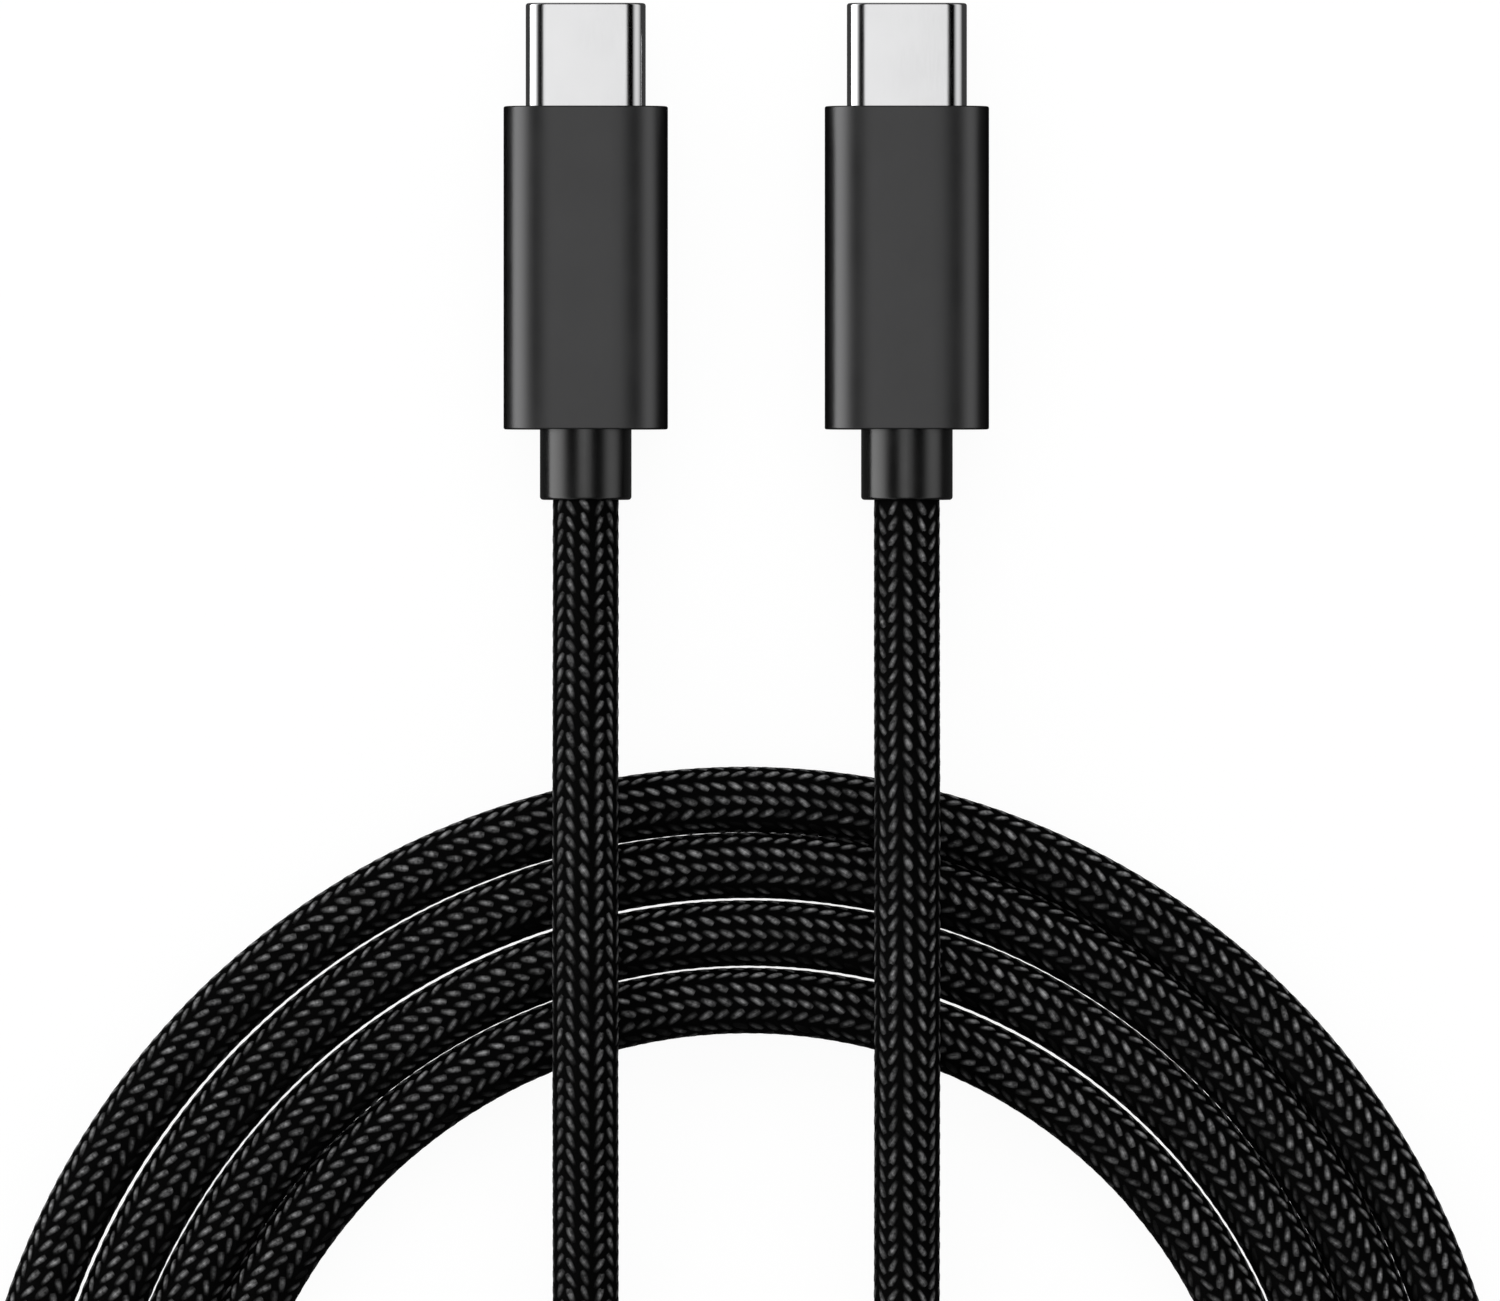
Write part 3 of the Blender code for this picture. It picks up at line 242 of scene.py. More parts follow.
class GeometryTree(TreeBuilder):
    """A geometry node tree with named inputs, whose result is kept as a plain mesh."""

    KINDS = {float: "Float", int: "Int", bpy.types.Object: "Object", bpy.types.Material: "Material"}

    def __init__(self, name: str, values: dict[str, object]) -> None:
        """Make the tree.

        Args:
            name: the tree's name.
            values: the value of each input, by name, which also gives the input's kind.
        """
        super().__init__(bpy.data.node_groups.new(name, "GeometryNodeTree"))
        self.values = values
        self.keys: dict[str, str] = {}
        face = self.tree.interface
        for title, value in values.items():
            kind = f"NodeSocket{self.KINDS[type(value)]}"
            self.keys[title] = face.new_socket(name=title, in_out="INPUT", socket_type=kind).identifier
        face.new_socket(name="Geometry", in_out="OUTPUT", socket_type="NodeSocketGeometry")
        self.inputs = self.tree.nodes.new("NodeGroupInput").outputs
        self.output = self.tree.nodes.new("NodeGroupOutput")

    def vector(self, operation: str, first: Socket, second: Socket | tuple = (0.0, 0.0, 0.0)) -> Socket:
        """The vector result of one Vector Math node."""
        return self.add("ShaderNodeVectorMath", {0: first, 1: second}, operation=operation).outputs[0]

    def scaled(self, vector: Socket, scale: Socket) -> Socket:
        """A vector times a number."""
        return self.add("ShaderNodeVectorMath", {0: vector, "Scale": scale}, operation="SCALE").outputs[0]

    def combined(self, x: Value, y: Value, z: Value) -> Socket:
        """A vector from its three parts."""
        return self.add("ShaderNodeCombineXYZ", {0: x, 1: y, 2: z}).outputs[0]

    def position(self) -> list[Socket]:
        """The three parts of each point's position."""
        return self.parts(self.add("GeometryNodeInputPosition").outputs[0])

    def moved(self, geometry: Socket, place: Socket) -> Socket:
        """The geometry with each of its points put in its place."""
        return self.add("GeometryNodeSetPosition", {"Geometry": geometry, "Position": place}).outputs[0]

    def grid(self, size: tuple[Value, Value], counts: tuple[Value, Value]) -> bpy.types.Node:
        """A flat grid about the origin, with its size and its number of points along X and Y."""
        sizes = {"Size X": size[0], "Size Y": size[1]}
        return self.add("GeometryNodeMeshGrid", {**sizes, "Vertices X": counts[0], "Vertices Y": counts[1]})

    def stored(
        self, geometry: Socket, name: str, value: Socket, kind: str = "FLOAT", domain: str = "POINT"
    ) -> Socket:
        """The geometry with a named attribute stored on it."""
        inputs = {"Geometry": geometry, "Name": name, "Value": value}
        return self.add("GeometryNodeStoreNamedAttribute", inputs, data_type=kind, domain=domain).outputs[0]

    def read(self, name: str) -> Socket:
        """A number stored on the points."""
        return self.add("GeometryNodeInputNamedAttribute", {"Name": name}, data_type="FLOAT").outputs[0]

    def path(self) -> Socket:
        """The curve of the object that the input Path names."""
        return self.add("GeometryNodeObjectInfo", {"Object": self.inputs["Path"]}).outputs["Geometry"]

    def finish(self, geometry: Socket) -> None:
        """Realise what is left of instances, set the material of the input Finish, and end the tree.

        Args:
            geometry: the tree's result.
        """
        real = self.add("GeometryNodeRealizeInstances", {"Geometry": geometry}).outputs[0]
        smooth = self.add("GeometryNodeSetShadeSmooth", {"Geometry": real}).outputs[0]
        inputs = {"Geometry": smooth, "Material": self.inputs["Finish"]}
        painted = self.add("GeometryNodeSetMaterial", inputs).outputs[0]
        self.tree.links.new(painted, self.output.inputs[0])

    def run(self, name: str, **changes: object) -> bpy.types.Object:
        """Run the tree once and keep its result.

        Args:
            name: the new piece's name.
            **changes: the inputs that have another value this time.

        Returns:
            A mesh object without modifiers.
        """
        piece = link_object(name, bpy.data.meshes.new(name))
        modifier = piece.modifiers.new(name, "NODES")
        modifier.node_group = self.tree
        for title, value in {**self.values, **changes}.items():
            modifier[self.keys[title]] = value
        piece.update_tag()
        graph = bpy.context.evaluated_depsgraph_get()
        mesh = bpy.data.meshes.new_from_object(piece.evaluated_get(graph))
        piece.modifiers.remove(modifier)
        mesh.name = name
        piece.data = mesh
        log.info("%s: %d faces", name, len(mesh.polygons))
        return piece


def link_object(name: str, data: bpy.types.ID) -> bpy.types.Object:
    """Add an object at the origin.

    Args:
        name: its name.
        data: its mesh, curve, camera or lamp.

    Returns:
        The new object, linked to the scene.
    """
    thing = bpy.data.objects.new(name, data)
    bpy.context.scene.collection.objects.link(thing)
    return thing


# ---------------------------------------------------------------- finishes


@dataclass(frozen=True)
class Finish:
    """A named finish. Each kind paints its own material."""

    name: str

    def build(self) -> bpy.types.Material:
        """The finish's material, made when it is first asked for.

        Returns:
            The material.
        """
        if self.name not in bpy.data.materials:
            self.paint(ShaderTree(self.name))
        return bpy.data.materials[self.name]

    def paint(self, tree: ShaderTree) -> None:
        """Add the finish's nodes to its material's tree."""
        raise NotImplementedError


@dataclass(frozen=True)
class BlastedAnodising(Finish):
    """Dark anodised aluminium, blasted matt: a fine even grain, with the faintest cloudiness."""

    colour: Colour
    paler: Colour
    edge: Colour
    roughness: float
    grain: float
    depth: float = 0.04
    cloud_scale: float = 260.0
    unevenness: float = 0.02

    def paint(self, tree: ShaderTree) -> None:
        """Add grain in the bump, and cloud in colour and roughness.

        Args:
            tree: the material's nodes.
        """
        places = tree.places()
        cloud = tree.noise(places, self.cloud_scale, 3.0)
        tree.colour(tree.spread(cloud, 0.0, 1.0), self.colour, self.paler)
        tree.roughen(cloud, self.roughness - self.unevenness, self.roughness + self.unevenness)
        tree.plain(Metallic=1.0, Specular_Tint=self.edge)
        tree.relief(tree.noise(places, 1.0 / self.grain), self.grain * self.depth)


@dataclass(frozen=True)
class Moulding(Finish):
    """Moulded plastic or elastomer: one colour, with a shallow grain from the mould."""

    colour: Colour
    roughness: float
    grain: float
    depth: float
    gloss: float = 0.5
    wear_scale: float = 420.0
    wear: float = 0.03

    def paint(self, tree: ShaderTree) -> None:
        """Add mould grain in the bump, and slight wear in the roughness.

        Args:
            tree: the material's nodes.
        """
        places = tree.places()
        rubbed = tree.noise(places, self.wear_scale, 3.0)
        tree.roughen(rubbed, self.roughness - self.wear, self.roughness + self.wear)
        tree.plain(Base_Color=self.colour, Specular_IOR_Level=self.gloss)
        cells = tree.add("ShaderNodeTexVoronoi", {"Vector": places, "Scale": 1.0 / self.grain})
        tree.relief(cells.outputs["Distance"], self.depth)


@dataclass(frozen=True)
class DrawnMetal(Finish):
    """Bright drawn sheet: polished, with hair-fine lines along the way it was drawn."""

    colour: Colour
    roughness: float
    line: float
    depth: float
    stretch: float = 0.02
    smear_scale: float = 300.0
    smears: tuple[float, float] = (0.1, 0.45)
    dullness: tuple[float, float] = (0.8, 1.35)

    def paint(self, tree: ShaderTree) -> None:
        """Add lines along Y in the bump and, smeared, in the roughness.

        Args:
            tree: the material's nodes.
        """
        lines = tree.noise(tree.places((1.0, self.stretch, 1.0)), 1.0 / self.line)
        smear = tree.noise(tree.places(), self.smear_scale)
        limits = (self.roughness * share for share in self.dullness)
        tree.join(tree.ranged(tree.product(lines, smear), *limits, *self.smears), "Roughness")
        tree.plain(Base_Color=self.colour, Metallic=1.0)
        tree.relief(lines, self.depth)


@dataclass(frozen=True)
class GiltContacts(Finish):
    """Gold-plated contacts that stand out of the black carrier they are moulded into."""

    gold: Colour
    carrier: Colour
    carrier_front: float
    carrier_rear: float
    grime_scale: float = 900.0
    grime: float = 0.12
    carrier_roughness: float = 0.5
    gold_roughness: float = 0.22

    def paint(self, tree: ShaderTree) -> None:
        """Add gold in front of the carrier and behind it, and plastic between.

        Args:
            tree: the material's nodes.
        """
        y = tree.parts(tree.add("ShaderNodeTexCoord").outputs["Object"])[1]
        ahead = tree.calculate("GREATER_THAN", y, self.carrier_front)
        behind = tree.calculate("LESS_THAN", y, self.carrier_rear)
        metal = tree.calculate("MAXIMUM", ahead, behind)
        grime = tree.spread(tree.noise(tree.places(), self.grime_scale), 0.0, self.grime)
        tree.colour(tree.minus(metal, grime, clamp=True), self.carrier, self.gold)
        tree.join(metal, "Metallic")
        tree.join(tree.ranged(metal, self.carrier_roughness, self.gold_roughness), "Roughness")


@dataclass(frozen=True)
class SolderMask(Finish):
    """A printed board: green mask over copper tracks that show as faint ridges."""

    mask: Colour
    track: Colour
    pitch: float
    gap: float = 0.6
    roughness: float = 0.32
    copper: float = 0.01 * MM

    def paint(self, tree: ShaderTree) -> None:
        """Add tracks along Y as a square wave in colour and bump.

        Args:
            tree: the material's nodes.
        """
        inputs = {"Vector": tree.places(), "Scale": WAVE_REPEAT / self.pitch, "Distortion": 0.0}
        wave = tree.add("ShaderNodeTexWave", inputs, bands_direction="X")
        tracks = tree.calculate("GREATER_THAN", wave.outputs["Fac"], self.gap)
        tree.colour(tracks, self.mask, self.track)
        tree.plain(Roughness=self.roughness)
        tree.relief(tracks, self.copper)


@dataclass(frozen=True)
class Fibrous(Finish):
    """A soft, uneven surface of one colour: a wire's insulation, or the dark jacket between stitches."""

    colour: Colour
    fibre: float = MM / 1.4
    depth: float = 0.006 * MM
    roughness: tuple[float, float] = (0.36, 0.5)
    gloss: float = 0.5

    def paint(self, tree: ShaderTree) -> None:
        """Add one noise in the bump and the roughness.

        Args:
            tree: the material's nodes.
        """
        fibres = tree.noise(tree.places(), 1.0 / self.fibre)
        tree.roughen(fibres, *self.roughness)
        tree.plain(Base_Color=self.colour, Specular_IOR_Level=self.gloss)
        tree.relief(fibres, self.depth)


@dataclass(frozen=True)
class BraidThread(Finish):
    """Black nylon thread of parallel filaments, with a painted highlight on its crown that fades to the
    thread's own black at its sides.

    Each stitch carries its own UV map, with U across it and V along it, and a random tone that sets how
    bright its painted highlight is.
    Each crest is the place across or along the stitch where the painted highlight is brightest, and how fast
    it fades away from there.
    """

    # deep is the thread's own black; crown is the colour of the painted highlight on each stitch's crown
    deep: Colour
    crown: Colour
    roughness: float
    gloss: float
    filaments: int
    ridge: float
    fray: float
    crest_across: tuple[float, float] = (0.5, 2.3)
    crest_along: tuple[float, float] = (0.40, 1.9)
    groove: float = 0.75
    frayed: tuple[float, float] = (0.30, 1.45)

    def paint(self, tree: ShaderTree) -> None:
        """Add filaments across U, and a painted highlight that pales the colour towards the crown, broken up
        unevenly where frayed.

        Args:
            tree: the material's nodes.
        """
        across, along, _ = tree.parts(tree.add("ShaderNodeUVMap", uv_map="UVMap").outputs[0])
        across_crest = self.hump(tree, across, *self.crest_across)
        raised = tree.product(across_crest, self.hump(tree, along, *self.crest_along))
        level = tree.add("ShaderNodeAttribute", attribute_name="tone").outputs["Fac"]
        phase = tree.product(across, self.filaments * math.pi)
        ridges = tree.calculate("ABSOLUTE", tree.calculate("SINE", phase))
        frayed = tree.spread(tree.noise(tree.places(), 1.0 / self.fray, 1.0), *self.frayed)
        # painted highlight: strongest on each stitch's crown, scaled by its tone and its filaments, and
        # broken up by fray
        pale = tree.product(raised, level, tree.ranged(ridges, self.groove, 1.0))
        tree.colour(tree.calculate("MULTIPLY", pale, frayed, clamp=True), self.deep, self.crown)
        tree.relief(ridges, self.ridge)
        tree.plain(Roughness=self.roughness, Specular_IOR_Level=self.gloss)

    @staticmethod
    def hump(tree: ShaderTree, place: Socket, top: float, slope: float) -> Socket:
        """A value that is 1 where place is top, and falls by slope to 0 on both sides."""
        off = tree.calculate("ABSOLUTE", tree.minus(place, top))
        return tree.minus(1.0, tree.product(off, slope), clamp=True)


@dataclass(frozen=True)
class Finishes:
    """Every finish of the cable, by the record's material slot."""

    anodised_housing: Finish = BlastedAnodising(
        "blasted_anodising",
        colour=(0.082, 0.082, 0.083),
        paler=(0.087, 0.087, 0.088),
        edge=(0.3, 0.3, 0.3),
        roughness=0.345,
        grain=0.05 * MM,
    )
    moulded_relief: Finish = Moulding(
        "relief_elastomer", (0.002, 0.002, 0.002), 0.24, grain=0.12 * MM, depth=0.001 * MM, gloss=0.75
    )
    bright_steel: Finish = DrawnMetal(
        "drawn_shell_steel", (0.57, 0.57, 0.575), 0.11, line=0.03 * MM, depth=0.0006 * MM
    )
    inner_mould: Finish = Moulding(
        "front_face_moulding", (0.02, 0.02, 0.021), 0.5, grain=0.10 * MM, depth=0.004 * MM
    )
    insulator: Finish = Moulding(
        "insulator_moulding", (0.012, 0.012, 0.013), 0.42, grain=0.08 * MM, depth=0.002 * MM
    )
    spring_steel: Finish = DrawnMetal(
        "rolled_spring_steel", (0.62, 0.62, 0.64), 0.24, line=0.02 * MM, depth=0.001 * MM
    )
    tinned_can: Finish = DrawnMetal(
        "tinned_sheet", (0.70, 0.70, 0.69), 0.3, line=0.05 * MM, depth=0.002 * MM
    )
    board: Finish = SolderMask("board_mask", (0.012, 0.10, 0.05), (0.03, 0.17, 0.08), pitch=0.5 * MM)
    chip: Finish = Moulding("chip_resin", (0.02, 0.02, 0.022), 0.6, grain=0.05 * MM, depth=0.003 * MM)
    supply_wire: Finish = Fibrous("red_insulation", (0.55, 0.03, 0.03))
    ground_wire: Finish = Fibrous("black_insulation", (0.02, 0.02, 0.02))
    configuration_wire: Finish = Fibrous("blue_insulation", (0.05, 0.12, 0.5))
    data_plus_wire: Finish = Fibrous("green_insulation", (0.05, 0.35, 0.08))
    data_minus_wire: Finish = Fibrous("white_insulation", (0.75, 0.75, 0.72))
    braid_ground: Finish = Fibrous(
        "braid_ground", (0.0012, 0.0012, 0.0012), 0.06 * MM, 0.018 * MM, roughness=(0.6, 0.85), gloss=0.03
    )
    braid_thread: Finish = BraidThread(
        "braid_thread",
        deep=(0.0012, 0.0012, 0.0012),
        # crown: the colour of the painted highlight on each stitch's crown
        crown=(0.45, 0.45, 0.455),
        roughness=0.5,
        gloss=0.08,
        filaments=5,
        ridge=0.010 * MM,
        fray=0.3 * MM,
    )


# ---------------------------------------------------------------- shapes


@dataclass(frozen=True)
class Outline:
    """A rounded rectangle that stands across a plug's axis.

    Each corner is a quarter of a superellipse: at a fullness of 2 an arc, above it a softer blend.
    """

    x: float
    z: float
    width: float
    height: float
    across: float
    up: float
    fullness: float = 2.0

    def inset(self, depth: float) -> Outline:
        """The same outline drawn in by this much all round."""
        size = {"width": self.width - 2 * depth, "height": self.height - 2 * depth}
        return replace(self, **size, across=self.across - depth, up=self.up - depth)

    def ring(self, y: float) -> Ring:
        """Points round the outline, the same number whatever its size.

        Args:
            y: where along the plug's axis it stands.

        Returns:
            The points, in order.
        """
        across = min(self.across, ROUNDEST * self.width)
        up = min(self.up, ROUNDEST * self.height)
        points = []
        for quarter, (side_x, side_z) in enumerate(((1, 1), (-1, 1), (-1, -1), (1, -1))):
            for step in range(RING_STEPS + 1):
                angle = step / RING_STEPS * math.pi / 2
                if quarter % 2:
                    angle = math.pi / 2 - angle
                x = self.width / 2 - across + across * math.cos(angle) ** (2 / self.fullness)
                z = self.height / 2 - up + up * math.sin(angle) ** (2 / self.fullness)
                points.append(Vector((self.x + side_x * x, y, self.z + side_z * z)))
        return points


def closed_tube(name: str, rings: list[Ring], material: bpy.types.Material) -> bpy.types.Object:
    """A solid of rings of equal length, each joined to the next and the last one to the first.

    Args:
        name: the piece's name.
        rings: the rings, in order round the wall's section.
        material: its finish.

    Returns:
        The piece, its faces turned outwards and its round faces smooth.
    """
    shape = bmesh.new()
    loops = [[shape.verts.new(point) for point in ring] for ring in rings]
    for near, far in zip(loops, loops[1:] + loops[:1]):
        for index, corner in enumerate(near):
            following = (index + 1) % len(near)
            shape.faces.new((corner, near[following], far[following], far[index]))
    bmesh.ops.recalc_face_normals(shape, faces=shape.faces)
    mesh = bpy.data.meshes.new(name)
    shape.to_mesh(mesh)
    shape.free()
    mesh.materials.append(material)
    mesh.shade_smooth()
    mesh.set_sharp_from_angle(angle=SHARP_ANGLE)
    return link_object(name, mesh)


def quarter_turn(radius: float) -> list[tuple[float, float]]:
    """How far each ring of a rounded edge lies in from the side, and back from the end.

    Args:
        radius: the edge's radius.

    Returns:
        (in, back) pairs, from the side to the end.
    """
    angles = [step / EDGE_STEPS * math.pi / 2 for step in range(EDGE_STEPS + 1)]
    return [(radius * (1 - math.cos(angle)), radius * (1 - math.sin(angle))) for angle in angles]


def distances(points: list[Vector]) -> list[float]:
    """How far along the line each of its points lies."""
    steps = ((far - near).length for near, far in zip(points, points[1:]))
    return list(accumulate(steps, initial=0.0))


# ---------------------------------------------------------------- the plugs


@dataclass
class PlugPiece:
    """A piece of one plug that is made here in place of the frame's own, in the same place and size.

    Its title and its node are its own name and that of the piece it replaces, after their side's, and its
    slot is the material slot that it takes its finish from.
    """

    side: Side
    title: str
    node: str
    slot: str

    def __post_init__(self) -> None:
        """Take the piece's place and size from the frame's node."""
        low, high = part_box(f"{self.side.value}_{self.node}")
        self.x = (low.x + high.x) / 2
        self.z = (low.z + high.z) / 2
        self.width = high.x - low.x
        self.height = high.z - low.z
        self.rear = low.y
        self.front = high.y

    def outline(self, width: float, height: float, *corner: float) -> Outline:
        """An outline about the plug's axis. Its corner is its reach across and up, and its fullness."""
        return Outline(self.x, self.z, width, height, *corner)

    def rings(self) -> list[Ring]:
        """The piece's rings, in order round its wall's section."""
        raise NotImplementedError

    def build(self, finishes: Finishes) -> None:
        """Make the piece, let it stand for the frame's node and ride with the cable.

        Args:
            finishes: every finish.
        """
        material = getattr(finishes, self.slot).build()
        piece = closed_tube(f"{self.side.value}_{self.title}", self.rings(), material)
        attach(piece, ROOT_BODY)
        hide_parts(f"{self.side.value}_{self.node}")
        log.info("%s: %d faces", piece.name, len(piece.data.polygons))


@dataclass
class Sleeve(PlugPiece):
    """The housing: a drawn sleeve with rounded rims and a rear wall with the strain relief's opening.

    The opening is given by its width and height, and its corner's reach across and up.
    """

    title: str = "sleeve"
    node: str = "housing"
    slot: str = "anodised_housing"
    blend_across: float = 4.00 * MM
    blend_up: float = 3.09 * MM
    fullness: float = 2.80
    corner: float = 2.40 * MM
    wall: float = 0.45 * MM
    end_wall: float = 0.80 * MM
    rim: float = 0.12 * MM
    opening: tuple[float, ...] = (6.40 * MM, 5.30 * MM, 2.45 * MM, 2.45 * MM)

    def rings(self) -> list[Ring]:
        """The wall's section: round both rims outside, then back along the inside to the opening."""
        outside = self.outline(self.width, self.height, self.blend_across, self.blend_up, self.fullness)
        inside = self.outline(self.width, self.height, self.corner, self.corner).inset(self.wall)
        opening = self.outline(*self.opening)
        rims = quarter_turn(self.rim)
        return [
            *(outside.inset(depth).ring(self.rear + back) for depth, back in reversed(rims)),
            *(outside.inset(depth).ring(self.front - back) for depth, back in rims),
            inside.ring(self.front),
            inside.ring(self.rear + self.end_wall),
            opening.ring(self.rear + self.end_wall),
            opening.ring(self.rear),
        ]


@dataclass
class ReliefCollar(PlugPiece):
    """The strain relief: a short collar with a rounded rear rim, its flange inside the housing."""

    title: str = "collar"
    node: str = "strain_relief"
    slot: str = "moulded_relief"
    collar_width: float = 6.30 * MM
    blend_across: float = 3.14 * MM
    blend_up: float = 2.59 * MM
    fullness: float = 2.20
    rim: float = 0.22 * MM
    bore: float = 4.65 * MM
    flange_length: float = 1.45 * MM
    flange_corner: float = 1.90 * MM

    def rings(self) -> list[Ring]:
        """The wall's section: flange, collar, round its rear rim, then back along the bore."""
        corner = (self.blend_across, self.blend_up, self.fullness)
        collar = self.outline(self.collar_width, self.height, *corner)
        flange = self.outline(self.width, self.height, self.flange_corner, self.flange_corner)
        bore = self.outline(self.bore, self.bore, self.bore / 2, self.bore / 2)
        step = self.front - self.flange_length
        return [
            flange.ring(self.front),
            flange.ring(step),
            collar.ring(step),
            *(collar.inset(depth).ring(self.rear + back) for depth, back in quarter_turn(self.rim)),
            bore.ring(self.rear),
            bore.ring(self.front),
        ]


@dataclass
class DrawnShell(PlugPiece):
    """The plug's shell: a tube of thin steel with round ends and a rolled mouth."""

    title: str = "shell"
    node: str = "plug_shell"
    slot: str = "bright_steel"
    blend_across: float = 1.45 * MM
    fullness: float = 2.30
    corner: float = 1.15 * MM
    wall: float = 0.25 * MM
    lip: float = 0.18 * MM

    def rings(self) -> list[Ring]:
        """The wall's section: along the outside, round the mouth's lip, then back along the inside."""
        blend_up = ROUNDEST * self.height
        outside = self.outline(self.width, self.height, self.blend_across, blend_up, self.fullness)
        inside = self.outline(self.width, self.height, self.corner, self.corner).inset(self.wall)
        return [
            outside.ring(self.rear),
            *(outside.inset(depth).ring(self.front - back) for depth, back in quarter_turn(self.lip)),
            inside.ring(self.front - self.lip),
            inside.ring(self.rear),
        ]


@dataclass
class Plug:
    """One plug: its outer pieces, made here, and the frame's pieces inside it, dressed."""

    side: Side
    finishes: Finishes
    carrier_length: float = 5.40 * MM
    gold: Colour = (0.90, 0.66, 0.27)
    carrier: Colour = (0.014, 0.014, 0.015)

    def build(self) -> None:
        """Make the outer pieces."""
        for kind in (Sleeve, ReliefCollar, DrawnShell):
            kind(self.side).build(self.finishes)

    def dress(self, frame: dict) -> None:
        """Give each piece of the frame that belongs to this plug its finish.
        """
        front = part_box(f"{self.side.value}_housing")[1].y
        rear = front - self.carrier_length
        special = {
            "gold_contacts": GiltContacts("gilt_contacts", self.gold, self.carrier, front, rear),
            "braided_cord": self.finishes.braid_ground,
        }
        for part in frame["record"]["subparts"]:
            node, slot = part["node"], part["material_slot"]
            if not node.startswith(self.side.value):
                continue
            finish = special[slot] if slot in special else getattr(self.finishes, slot)
            for place in frame["nodes"][node].material_slots:
                place.material = finish.build()
            log.info("%s: dressed as %s", node, finish.name)


# ---------------------------------------------------------------- the cord


